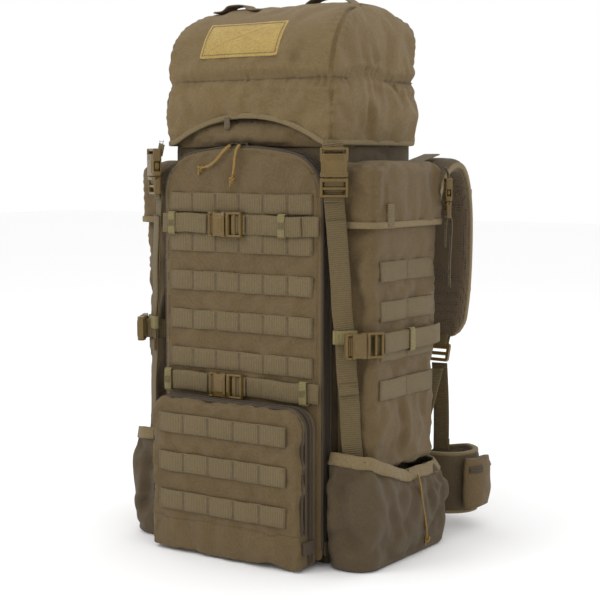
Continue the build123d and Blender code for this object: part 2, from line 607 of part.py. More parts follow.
# ---- the whole pack -----------------------------------------------------------------------
def pieces():
    """Every node's name and shape."""
    named = {
        "main_compartment": main_compartment(), "storm_collar": storm_collar(),
        "frame_sheet": frame_sheet(), "frame_stays": frame_stays(), "back_skin": back_skin(),
        "back_pads": back_pads(), "haul_handle": haul_handle(),
        "front_panel": front_panel(), "main_zip_panel": main_zip_panel(), "main_zip_bag": main_zip_bag(),
        "panel_webbing": strap_rows(
            PANEL_ROWS, PANEL_ROW_BOTTOM, ROW_PITCH, PANEL_ROW_HALF, PANEL_FRONT),
        "cross_straps": cross_straps(), "cross_keepers": cross_keepers(),
        "cross_sockets": cross_sockets(),
        "upper_cross_plug": cross_plug(CROSS_UPPER_Z), "lower_cross_plug": cross_plug(CROSS_LOWER_Z),
        "pocket_base": pocket_base(), "pocket_flap": pocket_flap(), "pocket_zip": pocket_zip(),
        "pocket_webbing": strap_rows(
            POCKET_ROWS, POCKET_ROW_BOTTOM, ROW_PITCH, POCKET_ROW_HALF, POCKET_FRONT),
        "slider_right": main_slider(1), "slider_left": main_slider(-1),
        "pull_cord_right": cord_tube(PULL_CORD_RIGHT), "pull_cord_left": cord_tube(PULL_CORD_LEFT),
        "lid_shell": lid_shell(), "lid_floor": lid_floor(), "lid_patch": lid_patch(),
        "lid_webbing": lid_webbing(), "lid_sockets": lid_sockets(), "lid_straps": lid_straps(),
        "side_webbing": side_rows(), "side_straps": side_straps(),
        "side_sockets": Compound([side_socket(), mirrored(side_socket())]),
        "stow_cords": Compound([stow_cord(), mirrored(stow_cord())]),
        "sternum_half_right": sternum_half(1), "sternum_half_left": mirrored(sternum_half(-1)),
        "belt_end_right": belt_end(1), "belt_end_left": mirrored(belt_end(-1)),
    }
    paired = {
        "lid_plug": lid_plug, "side_pouch": side_pouch, "side_flap": side_flap,
        "flap_buckle": flap_buckle, "stow_pocket": stow_pocket, "side_plug": side_plug,
        "shoulder_strap": shoulder_strap, "strap_lock": strap_lock, "harness_webbing": harness_webbing,
        "hip_wing": hip_wing, "hip_pocket": hip_pocket,
    }
    for name, make in paired.items():
        right = make()
        named[name + "_right"], named[name + "_left"] = right, mirrored(right)
    return named


os.makedirs("parts", exist_ok=True)
for node, shape in pieces().items():
    export_step(shape, os.path.join("parts", node + ".step"))
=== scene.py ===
"""Studio scene of a framed hunting backpack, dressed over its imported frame.

Sizes are in millimetres in the frame's own axes (+Z up, the front at -Y, the wearer's right at +X)
and turn to metres where a mesh is made.
"""
import json
import logging
import math
from collections.abc import Callable, Sequence
from dataclasses import dataclass
from enum import Enum

import bpy
import numpy as np
from mathutils import Matrix, Vector, bvhtree, kdtree, noise

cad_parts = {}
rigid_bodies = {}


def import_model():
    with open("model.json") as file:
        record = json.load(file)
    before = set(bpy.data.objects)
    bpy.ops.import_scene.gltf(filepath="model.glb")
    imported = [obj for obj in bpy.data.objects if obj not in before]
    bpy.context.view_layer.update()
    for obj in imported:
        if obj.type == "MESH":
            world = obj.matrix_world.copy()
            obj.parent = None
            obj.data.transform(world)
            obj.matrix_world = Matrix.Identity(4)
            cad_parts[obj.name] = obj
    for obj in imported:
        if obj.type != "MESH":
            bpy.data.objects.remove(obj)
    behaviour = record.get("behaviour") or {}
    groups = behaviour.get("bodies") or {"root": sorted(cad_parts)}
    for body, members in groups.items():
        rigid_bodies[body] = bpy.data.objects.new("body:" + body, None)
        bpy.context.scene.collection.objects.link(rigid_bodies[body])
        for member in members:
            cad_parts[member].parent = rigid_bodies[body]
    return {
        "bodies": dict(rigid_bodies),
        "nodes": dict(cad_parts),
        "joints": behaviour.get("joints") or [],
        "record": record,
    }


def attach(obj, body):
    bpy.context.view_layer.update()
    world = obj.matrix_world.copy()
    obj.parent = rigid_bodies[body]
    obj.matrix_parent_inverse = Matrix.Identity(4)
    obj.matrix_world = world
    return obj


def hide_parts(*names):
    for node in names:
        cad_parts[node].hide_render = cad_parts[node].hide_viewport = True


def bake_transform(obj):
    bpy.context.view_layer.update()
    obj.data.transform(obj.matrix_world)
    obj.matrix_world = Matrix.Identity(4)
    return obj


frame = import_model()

MM = 0.001
Array = np.ndarray
Point = tuple[float, float, float]
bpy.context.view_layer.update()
log = logging.getLogger("backpack")


# ---- colours and nodes ---------------------------------------------------------------------
def linear(code: str) -> tuple[float, float, float, float]:
    """Turn an sRGB hex colour to linear light.

    Args:
        code: Six hex digits after a hash sign.

    Returns:
        Red, green, blue and an alpha of one.
    """
    parts = [int(code[i:i + 2], 16) / 255 for i in (1, 3, 5)]
    return tuple(c / 12.92 if c <= 0.04045 else ((c + 0.055) / 1.055) ** 2.4 for c in parts) + (1.0,)


def node(tree: bpy.types.NodeTree, kind: str, settings: dict, links: dict | None = None) -> bpy.types.Node:
    """Add a node, set its properties or sockets, and link its inputs.

    Args:
        tree: The tree that takes the node.
        kind: The node's type, without the ShaderNode prefix.
        settings: Property or socket names and their values.
        links: Input names and the output sockets that feed them.

    Returns:
        The new node.
    """
    made = tree.nodes.new("ShaderNode" + kind)
    for name, value in settings.items():
        if isinstance(name, str) and name in made.bl_rna.properties:
            setattr(made, name, value)
        else:
            made.inputs[name].default_value = value
    for name, source in (links or {}).items():
        tree.links.new(source, made.inputs[name])
    return made


class Ground(Enum):
    """Which coordinates a pattern follows: the frame's own, or a strip's length and width."""

    FRAME = "Object"
    STRIP = "UV"


@dataclass(frozen=True)
class Finish:
    """What every finish shares: its slot, colour, gloss and sheen."""

    slot: str
    colour: str
    second: str
    roughness: float = 0.8
    sheen: float = 0.05
    blotch: float = 90.0      # size of the broad tone changes, mm
    mottle: float = 0.5       # share of the second colour in those changes
    ground: Ground = Ground.FRAME

    def relief(self, tree: bpy.types.NodeTree, where: bpy.types.NodeSocket) -> tuple:
        """Build the surface relief.

        Args:
            tree: The material's tree.
            where: Coordinates in metres.

        Returns:
            The height socket, its depth in millimetres, and a socket of painted shade and painted highlight
            that darkens the hollows and lightens the crests.
        """
        grain = node(tree, "TexNoise", {"Scale": 900.0, "Detail": 3.0}, {"Vector": where})
        return grain.outputs["Fac"], 0.15, None

    def material(self) -> bpy.types.Material:
        """Make the material once and hand it out again afterwards."""
        name = type(self).__name__ + "_" + self.slot + self.colour[1:]
        found = bpy.data.materials.get(name)
        if found:
            return found
        made = bpy.data.materials.new(name)
        made.use_nodes = True
        tree = made.node_tree
        tree.nodes.clear()
        where = node(tree, "TexCoord", {}).outputs[self.ground.value]
        solid = node(tree, "TexCoord", {}).outputs["Object"]
        broad = node(tree, "TexNoise", {"Scale": 1 / (self.blotch * MM), "Detail": 5.0, "Roughness": 0.6},
                     {"Vector": solid})
        fine = node(tree, "TexNoise", {"Scale": 420.0, "Detail": 2.0}, {"Vector": solid})
        sway = node(tree, "MapRange", {"From Min": 0.3, "From Max": 0.7, "To Max": self.mottle},
                    {"Value": broad.outputs["Fac"]})
        tone = node(tree, "Mix", {"data_type": "RGBA", 6: linear(self.colour), 7: linear(self.second)},
                    {0: sway.outputs["Result"]})
        speck = node(tree, "MapRange", {"From Min": 0.25, "From Max": 0.75, "To Min": 0.84, "To Max": 1.14},
                     {"Value": fine.outputs["Fac"]})
        tone = node(tree, "Mix", {"data_type": "RGBA", "blend_type": "MULTIPLY", 0: 1.0},
                    {6: tone.outputs[2], 7: speck.outputs["Result"]})
        height, depth, relief_shade = self.relief(tree, where)
        # Painted shade in the relief's hollows and a painted highlight on its crests, multiplied into the
        # colour.
        if relief_shade is not None:
            tone = node(tree, "Mix", {"data_type": "RGBA", "blend_type": "MULTIPLY", 0: 1.0},
                        {6: tone.outputs[2], 7: relief_shade})
        rough = node(tree, "MapRange", {"To Min": self.roughness - 0.08, "To Max": self.roughness + 0.08},
                     {"Value": broad.outputs["Fac"]})
        bump = node(tree, "Bump", {"Strength": 1.0, "Distance": depth * MM}, {"Height": height})
        shader = node(tree, "BsdfPrincipled", {"Sheen Weight": self.sheen, "Sheen Roughness": 0.45},
                      {"Base Color": tone.outputs[2], "Roughness": rough.outputs["Result"],
                       "Normal": bump.outputs["Normal"]})
        self.tune(shader)
        node(tree, "OutputMaterial", {}, {"Surface": shader.outputs["BSDF"]})
        return made

    def tune(self, shader: bpy.types.Node) -> None:
        """Set what only this finish needs on the shader's own sockets."""


def waves(tree: bpy.types.NodeTree, where: bpy.types.NodeSocket, axis: str, pitch: float,
          bend: float = 0.0) -> bpy.types.NodeSocket:
    """Even ridges across one axis.

    Args:
        tree: The material's tree.
        where: Coordinates in metres.
        axis: X, Y or Z.
        pitch: Millimetres from ridge to ridge.
        bend: How far the ridges wander.

    Returns:
        The socket with the height of the ridges, 0 to 1.
    """
    scale = 2 * math.pi / 20 / (pitch * MM)     # a band texture repeats every 2 pi / 20 units
    made = node(tree, "TexWave", {"bands_direction": axis, "Scale": scale, "Distortion": bend,
                                  "Detail": 1.0, "Detail Scale": 0.4}, {"Vector": where})
    return made.outputs["Fac"]


def total(tree: bpy.types.NodeTree, parts: Sequence, operation: str = "ADD") -> bpy.types.NodeSocket:
    """Combine several heights into one with a maths operation, and return its socket."""
    whole = parts[0]
    for part in parts[1:]:
        whole = node(tree, "Math", {"operation": operation}, {0: whole, 1: part}).outputs[0]
    return whole


@dataclass(frozen=True)
class PlainWeave(Finish):
    """Coated nylon cloth, plain woven: matt, with a fine square grain and a soft sheen at a glance."""

    # Threads lie 0.45 mm apart on the real cloth and are drawn at twice that, so that they show.
    thread: float = 0.95
    depth: float = 0.16

    def relief(self, tree: bpy.types.NodeTree, where: bpy.types.NodeSocket) -> tuple:
        """Threads across all three axes, of which any face shows two, under loose fibres."""
        rows = [waves(tree, where, axis, self.thread, 0.6) for axis in "XYZ"]
        fibre = node(tree, "TexNoise", {"Scale": 260.0, "Detail": 4.0}, {"Vector": where}).outputs["Fac"]
        height = total(tree, rows + [fibre])
        # Painted shade between the threads and a faint painted highlight on their crests.
        relief_shade = node(tree, "MapRange", {"From Min": 0.8, "From Max": 2.6, "To Min": 0.86, "To Max": 1.08},
                      {"Value": height})
        return height, self.depth, relief_shade.outputs["Result"]


@dataclass(frozen=True)
class RibbedWebbing(Finish):
    """Nylon webbing off a narrow loom: ribs across the strap and a firm rolled selvedge."""

    ground: Ground = Ground.STRIP
    rib: float = 2.6          # real ribs are about 1.3 mm apart, drawn twice as coarse
    depth: float = 0.42

    def relief(self, tree: bpy.types.NodeTree, where: bpy.types.NodeSocket) -> tuple:
        """Ribs across the strip, broken by the warp that runs along it."""
        ribs = waves(tree, where, "X", self.rib, 0.25)
        warp = waves(tree, where, "Y", 1.6, 0.3)
        thin = node(tree, "Math", {"operation": "MULTIPLY", 1: 0.35}, {0: warp}).outputs[0]
        height = total(tree, [ribs, thin])
        # Painted shade between the ribs and a painted highlight on their crests.
        relief_shade = node(tree, "MapRange", {"From Max": 1.2, "To Min": 0.66, "To Max": 1.14},
                      {"Value": height})
        return height, self.depth, relief_shade.outputs["Result"]


@dataclass(frozen=True)
class Moulded(Finish):
    """Acetal from a mould: smooth, faintly grained by the tool's spark-eroded face."""

    roughness: float = 0.38
    sheen: float = 0.0
    blotch: float = 25.0

    def relief(self, tree: bpy.types.NodeTree, where: bpy.types.NodeSocket) -> tuple:
        """A fine leathery grain, 0.8 mm across."""
        grain = node(tree, "TexNoise", {"Scale": 1200.0, "Detail": 2.0}, {"Vector": where})
        return grain.outputs["Fac"], 0.05, None

    def tune(self, shader: bpy.types.Node) -> None:
        """Acetal's index of refraction."""
        shader.inputs["IOR"].default_value = 1.48


@dataclass(frozen=True)
class Braid(Finish):
    """Braided nylon cord: crossing strands that catch small lights, with a painted highlight on each strand
    and painted shade between them.
    """

    roughness: float = 0.6
    blotch: float = 12.0
    plait: float = 1.4

    def relief(self, tree: bpy.types.NodeTree, where: bpy.types.NodeSocket) -> tuple:
        """Round cells about one strand wide."""
        cells = node(tree, "TexVoronoi", {"Scale": 1 / (self.plait * MM)}, {"Vector": where})
        # Painted highlight in each strand's middle and painted shade at its rim.
        relief_shade = node(tree, "MapRange", {"From Max": 0.7, "To Min": 1.12, "To Max": 0.66},
                      {"Value": cells.outputs["Distance"]})
        height = node(tree, "Math", {"operation": "SUBTRACT", 0: 1.0}, {1: cells.outputs["Distance"]})
        return height.outputs[0], 0.5, relief_shade.outputs["Result"]


@dataclass(frozen=True)
class SpacerMesh(Finish):
    """Knitted spacer mesh: rows of small open eyes over the foam, their dark hollows partly the layer below
    and partly painted shade.
    """

    eye: float = 3.4
    sheen: float = 0.1

    def relief(self, tree: bpy.types.NodeTree, where: bpy.types.NodeSocket) -> tuple:
        """Open eyes a few millimetres apart."""
        cells = node(tree, "TexVoronoi", {"Scale": 1 / (self.eye * MM), "Randomness": 0.25},
                     {"Vector": where})
        rim = node(tree, "MapRange", {"From Min": 0.12, "From Max": 0.42},
                   {"Value": cells.outputs["Distance"]})
        # Painted shade in the eyes, on top of the darker layer that shows through, and a faint painted
        # highlight on the knit.
        relief_shade = node(tree, "MapRange", {"To Min": 0.38, "To Max": 1.08}, {"Value": rim.outputs["Result"]})
        return rim.outputs["Result"], 0.8, relief_shade.outputs["Result"]


@dataclass(frozen=True)
class LoopPile(Finish):
    """The loop half of a touch fastener: a brushed nap of tiny loops that lies in tufts."""

    sheen: float = 0.2
    roughness: float = 0.95

    def relief(self, tree: bpy.types.NodeTree, where: bpy.types.NodeSocket) -> tuple:
        """Tufts about a millimetre and a half wide."""
        tufts = node(tree, "TexNoise", {"Scale": 620.0, "Detail": 6.0, "Roughness": 0.7}, {"Vector": where})
        # The tufts vary in tone; since the tone follows their height, it is also painted shade in the low
        # spots and a painted highlight on the high ones.
        relief_shade = node(tree, "MapRange", {"From Min": 0.3, "From Max": 0.7, "To Min": 0.7, "To Max": 1.2},
                      {"Value": tufts.outputs["Fac"]})
        return tufts.outputs["Fac"], 0.9, relief_shade.outputs["Result"]


@dataclass(frozen=True)
class Metal(Finish):
    """Metal with a thin painted or brushed face."""

    roughness: float = 0.4
    sheen: float = 0.0
    metallic: float = 1.0

    def tune(self, shader: bpy.types.Node) -> None:
        """Bare or painted, as the finish says."""
        shader.inputs["Metallic"].default_value = self.metallic


CLOTH = PlainWeave("pack_cloth", "#614e2d", "#564528")
# A lighter copy of the pack cloth for the hood: painted light on the lit top of the pack.
LID_CLOTH_PAINTED_LIGHT = PlainWeave("pack_cloth", "#715d38", "#655231")
# A darker copy of the pack cloth: painted shade for the pieces that sit in shade, such as the stow pockets,
# bag walls and padded straps.
CLOTH_PAINTED_SHADE = PlainWeave("pack_cloth", "#4e3f26", "#443620")
BINDING = PlainWeave("pack_cloth", "#756443", "#695939", thread=1.3)
LINING = PlainWeave("lining", "#5f5039", "#564832")
BACKING = PlainWeave("back_cloth", "#5d4d37", "#524430")
WEB = RibbedWebbing("webbing", "#6b5b3b", "#5f5033")
# A darker copy of the webbing: painted shade for the straps down the shaded sides and on the harness.
STRAP_WEB_PAINTED_SHADE = RibbedWebbing("webbing", "#625231", "#56472a")
DARK_WEB = RibbedWebbing("haul_webbing", "#5d4f38", "#524530")
ELASTIC = RibbedWebbing("elastic", "#7f7347", "#73673f", rib=1.7)
THREAD = Braid("webbing", "#6b5b3e", "#5f5037", plait=0.8)
BUCKLE = Moulded("buckle_plastic", "#634d1d", "#523f17")
TAPE_CLOTH = RibbedWebbing("zip_tape", "#4a3d2b", "#40341f", rib=1.4, depth=0.2)
COIL = Moulded("zip_tape", "#3a2f20", "#2f2619")
SLIDER = Metal("slider_metal", "#4c4231", "#3a3226", metallic=0.6)
CORD = Braid("cord", "#96742c", "#7d5f22")
PILE = LoopPile("hook_loop", "#a98f4e", "#957b40", blotch=14.0, sheen=0.2)
# The spacer mesh's own colour, darkened by about a third as painted shade on the harness and back.
MESH = SpacerMesh("air_mesh", "#5a4b36", "#4f412f")
SHEET = Moulded("frame_plastic", "#2c2b29", "#242322", roughness=0.5)
ALLOY = Metal("stay_aluminium", "#b9bbbd", "#a9abad", roughness=0.32)


# ---- meshes ----------------------------------------------------------------------------------
@dataclass
class Skin:
    """A surface in millimetres: its points and its faces."""

    points: Array
    faces: list[tuple[int, ...]]

    def normals(self) -> Array:
        """The unit normal at each point, averaged over the faces round it."""
        found = np.zeros_like(self.points)
        quads = np.array([f if len(f) == 4 else (*f, f[0]) for f in self.faces])
        a, b, c, d = (self.points[quads[:, i]] for i in range(4))
        across = np.cross(c - a, d - b)
        for i in range(4):
            np.add.at(found, quads[:, i], across)
        size = np.linalg.norm(found, axis=1, keepdims=True)
        return found / np.maximum(size, 1e-9)

    def moved(self, points: Array) -> "Skin":
        """The same faces over other points."""
        return Skin(points, self.faces)

    def mirrored(self) -> "Skin":
        """The same skin on the wearer's other side."""
        return Skin(self.points * (-1, 1, 1), [f[::-1] for f in self.faces])

    def kept(self, test: Callable[[Array], Array]) -> "Skin":
        """Only the faces whose middles pass a test.

        Args:
            test: Takes the middles, one row each, and gives a mask.

        Returns:
            The part of the skin that is kept, with no loose points.
        """
        middles = np.array([self.points[list(f)].mean(0) for f in self.faces])
        faces = [f for f, keep in zip(self.faces, test(middles)) if keep]
        used = sorted({i for f in faces for i in f})
        place = {old: new for new, old in enumerate(used)}
        return Skin(self.points[used], [tuple(place[i] for i in f) for f in faces])

    def mesh(self, name: str) -> bpy.types.Mesh:
        """The skin as a Blender mesh, in metres."""
        made = bpy.data.meshes.new(name)
        made.from_pydata((self.points * MM).tolist(), [], self.faces)
        made.update()
        return made

    def refined(self, times: int = 1) -> "Skin":
        """The skin with its faces divided and smoothed.

        Args:
            times: How often each face is split in four.

        Returns:
            The finer skin.
        """
        holder = bpy.data.objects.new("refine", self.mesh("refine"))
        bpy.context.collection.objects.link(holder)
        split = holder.modifiers.new("split", "SUBSURF")
        split.levels = times
        result = self.read(holder)
        bpy.data.objects.remove(holder)
        return result

    @staticmethod
    def read(holder: bpy.types.Object) -> "Skin":
        """The skin that an object shows once its modifiers have run, in millimetres."""
        shown = holder.evaluated_get(bpy.context.evaluated_depsgraph_get()).to_mesh()
        points = np.empty(len(shown.vertices) * 3)
        shown.vertices.foreach_get("co", points)
        return Skin(points.reshape(-1, 3) / MM, [tuple(f.vertices) for f in shown.polygons])

    def settled(self, held: Callable[[Array], Array], growth: float, pressure: float, out: float = 8.0,
                inward: float = 6.0, frames: int = 16, bending: float = 0.4) -> "Skin":
        """Let the cloth relax into folds by simulation, with its seams held.

        Args:
            held: Takes the points and gives a mask of those that stay where they are.
            growth: How much longer the cloth is than its frame, as a share.
            pressure: Outward push of what is inside.
            out: The furthest a point may move outwards.
            inward: The furthest a point may move inwards.
            frames: How long it settles.
            bending: How stiff the cloth is in a fold.

        Returns:
            The settled skin.
        """
        start = self.rumpled(held, 0.9, 22.0)
        holder = bpy.data.objects.new("settle", start.mesh("settle"))
        bpy.context.collection.objects.link(holder)
        pins = holder.vertex_groups.new(name="held")
        pins.add(np.nonzero(held(self.points))[0].tolist(), 1.0, "REPLACE")
        cloth = holder.modifiers.new("cloth", "CLOTH")
        rules = cloth.settings
        rules.quality, rules.mass, rules.air_damping = 5, 0.2, 3.0
        rules.tension_stiffness = rules.compression_stiffness = 12.0
        rules.shear_stiffness, rules.bending_stiffness = 4.0, bending
        rules.vertex_group_mass = "held"
        rules.shrink_min = -growth
        rules.use_pressure, rules.uniform_pressure_force = True, pressure
        rules.effector_weights.gravity = 0.0
        cloth.collision_settings.use_collision = False
        cloth.point_cache.frame_start, cloth.point_cache.frame_end = 1, frames
        for step in range(1, frames + 1):
            bpy.context.scene.frame_set(step)
        moved = self.read(holder).points
        bpy.data.objects.remove(holder)
        bpy.context.scene.frame_set(1)
        return self.moved(self.points + limited(moved - self.points, self.normals(), out, inward))

    def rumpled(self, held: Callable[[Array], Array], height: float, size: float,
                seed: float = 0.0) -> "Skin":
        """Soft uneven dents and swells.

        Args:
            held: Takes the points and gives a mask of those that stay where they are.
            height: The largest swell.
            size: Millimetres from swell to swell.
            seed: Moves the pattern along.

        Returns:
            The rumpled skin.
        """
        shift = np.array([noise.noise(Vector(p) / size + Vector((seed, 2 * seed, 0))) for p in self.points])
        free = ~held(self.points)
        return self.moved(self.points + self.normals() * (shift * height * free)[:, None])

    def puckered(self, seams: Sequence[Array], ridge: float = 1.1, wave: float = 11.0, reach: float = 16.0,
                 groove: float = 1.6) -> "Skin":
        """Sink the seams and raise the gathers that run away from them.

        Args:
            seams: Lines of points along each seam.
            ridge: Height of the gathers.
            wave: Millimetres from gather to gather.
            reach: How far the gathers run from the seam.
            groove: Depth of the seam itself.

        Returns:
            The puckered skin.
        """
        lines = [evenly(np.asarray(seam, float), 1.5) for seam in seams]
        along = np.concatenate([np.arange(len(line)) * 1.5 + 977 * k for k, line in enumerate(lines)])
        tree = kdtree.KDTree(len(along))
        for index, point in enumerate(np.vstack(lines)):
            tree.insert(point, index)
        tree.balance()
        near = [tree.find(p) for p in self.points]
        away = np.array([n[2] for n in near])
        run = along[[n[1] for n in near]]
        stray = np.array([noise.noise(Vector((r / 37, a / 60, 3.1))) for r, a in zip(run, away)])
        swell = np.array([0.55 + 0.9 * noise.noise(Vector((r / 23, 8.7, 1.0))) for r in run])
        gather = np.sin(2 * math.pi * run / wave + 7 * stray) * swell * np.exp(-away / reach)
        rise = gather * ridge * np.clip(away / 3, 0, 1) - groove * np.exp(-(away / 2.4) ** 2)
        return self.moved(self.points + self.normals() * rise[:, None])


def creased(skin: Skin, lines: Sequence[Sequence[Point]], depth: float, wide: float) -> Skin:
    """Press soft valleys into a skin, with a swell on each side.

    Args:
        skin: The skin.
        lines: The corners of each valley's line.
        depth: Depth of the valleys.
        wide: Half their width.

    Returns:
        The creased skin.
    """
    runs = [smooth_line(line, 2.0, 2) for line in lines]
    tree = searchable(np.vstack(runs))
    fade = np.concatenate([np.sin(np.linspace(0, math.pi, len(run))) ** 0.5 for run in runs])
    near = [tree.find(p) for p in skin.points]
    away = np.array([n[2] for n in near]) / wide
    rise = (0.55 * np.exp(-((away - 1.7) / 0.8) ** 2)
            - np.exp(-away ** 2)) * depth * fade[[n[1] for n in near]]
    return skin.moved(skin.points + skin.normals() * rise[:, None])


def limited(shift: Array, normals: Array, out: float, inward: float) -> Array:
    """Shorten moves that would take a point too far from where it started."""
    along = np.einsum("ij,ij->i", shift, normals)
    size = np.linalg.norm(shift, axis=1)
    reach = np.where(along > 0, out, inward)
    return shift * (reach * np.tanh(size / reach) / np.maximum(size, 1e-9))[:, None]


def evenly(line: Array, step: float) -> Array:
    """The same line with its points an even step apart."""
    gaps = np.linalg.norm(np.diff(line, axis=0), axis=1)
    run = np.concatenate([[0], np.cumsum(gaps)])
    at = np.linspace(0, run[-1], max(2, round(run[-1] / step) + 1))
    return np.column_stack([np.interp(at, run, line[:, i]) for i in range(line.shape[1])])


def smooth_line(points: Sequence, step: float = 3.0, rounds: int = 3, closed: bool = False) -> Array:
    """Cut the corners of a line until it runs smoothly, then space it evenly.

    Args:
        points: The line's corners.
        step: Spacing of the result.
        rounds: How often each corner is cut.
        closed: Whether the last point joins the first.

    Returns:
        The smooth line.
    """
    line = np.asarray(points, float)
    for _ in range(rounds):
        ends = np.vstack([line, line[:1]]) if closed else line
        a, b = ends[:-1], ends[1:]
        cut = np.stack([0.75 * a + 0.25 * b, 0.25 * a + 0.75 * b], 1).reshape(-1, line.shape[1])
        line = cut if closed else np.vstack([line[:1], cut, line[-1:]])
    return evenly(np.vstack([line, line[:1]]) if closed else line, step)


def ring(x: tuple[float, float], y: tuple[float, float], corners: Sequence[float], nx: int,
         ny: int) -> Array:
    """Points round a rectangle with rounded corners, anticlockwise from the low corner.

    Args:
        x: Its extent across.
        y: Its extent up.
        corners: Radii of the corners, anticlockwise from the low left one.
        nx: Steps along each level side.
        ny: Steps along each upright side.

    Returns:
        The points, 2 * (nx + ny) rows of two.
    """
    xs, ys = np.linspace(*x, nx + 1), np.linspace(*y, ny + 1)
    edge = np.array([(a, y[0]) for a in xs[:-1]] + [(x[1], b) for b in ys[:-1]]
                    + [(a, y[1]) for a in xs[:0:-1]] + [(x[0], b) for b in ys[:0:-1]])
    right, high = edge[:, 0] > sum(x) / 2, edge[:, 1] > sum(y) / 2
    radius = np.select([~right & ~high, right & ~high, right & high], corners[:3], corners[3])
    low = np.column_stack([x[0] + radius, y[0] + radius])
    top = np.column_stack([x[1] - radius, y[1] - radius])
    inner = np.clip(edge, low, top)
    off = edge - inner
    return inner + off / np.linalg.norm(off, axis=1, keepdims=True) * radius[:, None]


def lofted(rings: Sequence[Array], nx: int, ny: int, top: bool = True, foot: bool = False) -> Skin:
    """A skin through a stack of rings, closed by grids at its ends.

    Args:
        rings: Rings of 2 * (nx + ny) points in three dimensions, from the foot up.
        nx: Steps along each ring's level side.
        ny: Steps along each ring's other side.
        top: Whether the last ring is closed.
        foot: Whether the first ring is closed.

    Returns:
        The skin, its faces outwards.
    """
    count = 2 * (nx + ny)
    points, faces = [np.vstack(rings)], []
    for level in range(len(rings) - 1):
        for i in range(count):
            j, base = (i + 1) % count, level * count
            faces.append((base + i, base + j, base + count + j, base + count + i))
    for wanted, level, turned in ((top, len(rings) - 1, False), (foot, 0, True)):
        if not wanted:
            continue
        loop = rings[level]
        low, right = loop[:nx + 1], loop[nx:nx + ny + 1]
        high, left = loop[nx + ny:2 * nx + ny + 1][::-1], np.vstack([loop[2 * nx + ny:], loop[:1]])[::-1]
        s, t = np.linspace(0, 1, nx + 1)[:, None, None], np.linspace(0, 1, ny + 1)[None, :, None]
        corner = ((1 - s) * (1 - t) * low[0] + s * (1 - t) * low[-1]
                  + (1 - s) * t * high[0] + s * t * high[-1])
        grid = (1 - t) * low[:, None] + t * high[:, None] + (1 - s) * left[None] + s * right[None] - corner
        first = sum(len(p) for p in points)
        points.append(grid[1:-1, 1:-1].reshape(-1, 3))
        names = np.empty((nx + 1, ny + 1), int)
        names[1:-1, 1:-1] = first + np.arange((nx - 1) * (ny - 1)).reshape(nx - 1, ny - 1)
        around = level * count + np.arange(count)
        names[:, 0], names[-1, :] = around[:nx + 1], around[nx:nx + ny + 1]
        names[:, -1] = around[nx + ny:2 * nx + ny + 1][::-1]
        names[0, 1:-1] = around[2 * nx + ny + 1:][::-1]
        for i in range(nx):
            for j in range(ny):
                quad = tuple(int(n)
                             for n in (names[i, j], names[i + 1, j], names[i + 1, j + 1], names[i, j + 1]))
                faces.append(quad[::-1] if turned else quad)
    return Skin(np.vstack(points), faces)


def to_front(flat: Array, y: float) -> Array:
    """Stand a flat ring of x and z at a depth, so that a stack of them grows to the front."""
    return np.column_stack([flat[:, 0], np.full(len(flat), y), flat[:, 1]])


def level(flat: Array, z: float | Array) -> Array:
    """Lay a flat ring of x and y at a height."""
    return np.column_stack([flat, np.broadcast_to(z, len(flat))])


def strip(line: Array, across: Array | Sequence[float], wide: float, thick: float) -> tuple[Skin, Array]:
    """A strap along a line, with softly rounded edges.

    Args:
        line: Points along its middle.
        across: The direction of its width, one for all or one for each point.
        wide: Its width.
        thick: Its thickness.

    Returns:
        The closed skin, and the length and width coordinates of each point, in metres.
    """
    side = np.broadcast_to(np.asarray(across, float), line.shape)
    along = np.gradient(line, axis=0)
    along /= np.linalg.norm(along, axis=1, keepdims=True)
    side = side - along * np.einsum("ij,ij->i", side, along)[:, None]
    side = side / np.linalg.norm(side, axis=1, keepdims=True)
    face = np.cross(side, along)
    run = np.concatenate([[0], np.cumsum(np.linalg.norm(np.diff(line, axis=0), axis=1))])
    shape = [(-0.5, 0.0), (-0.475, -0.42), (-0.25, -0.5), (0.0, -0.5), (0.25, -0.5), (0.475, -0.42),
             (0.5, 0.0),
             (0.475, 0.42), (0.25, 0.5), (0.0, 0.5), (-0.25, 0.5), (-0.475, 0.42)]
    count = len(shape)
    rings = [line + side * (a * wide) + face * (b * thick) for a, b in shape]
    points = np.stack(rings, 1).reshape(-1, 3)
    faces = [(k * count + i, k * count + (i + 1) % count, (k + 1) * count + (i + 1) % count, (k + 1) * count
              + i)
             for k in range(len(line) - 1) for i in range(count)]
    for base, turned in ((0, True), ((len(line) - 1) * count, False)):
        cells = [(0, 1, 11), (1, 2, 10, 11), (2, 3, 9, 10), (3, 4, 8, 9), (4, 5, 7, 8), (5, 6, 7)]
        faces += [tuple(base + i for i in (cell[::-1] if turned else cell)) for cell in cells]
    flat = [(r * MM, a * wide * MM) for r in run for a, _ in shape]
    return Skin(points, faces), np.array(flat)


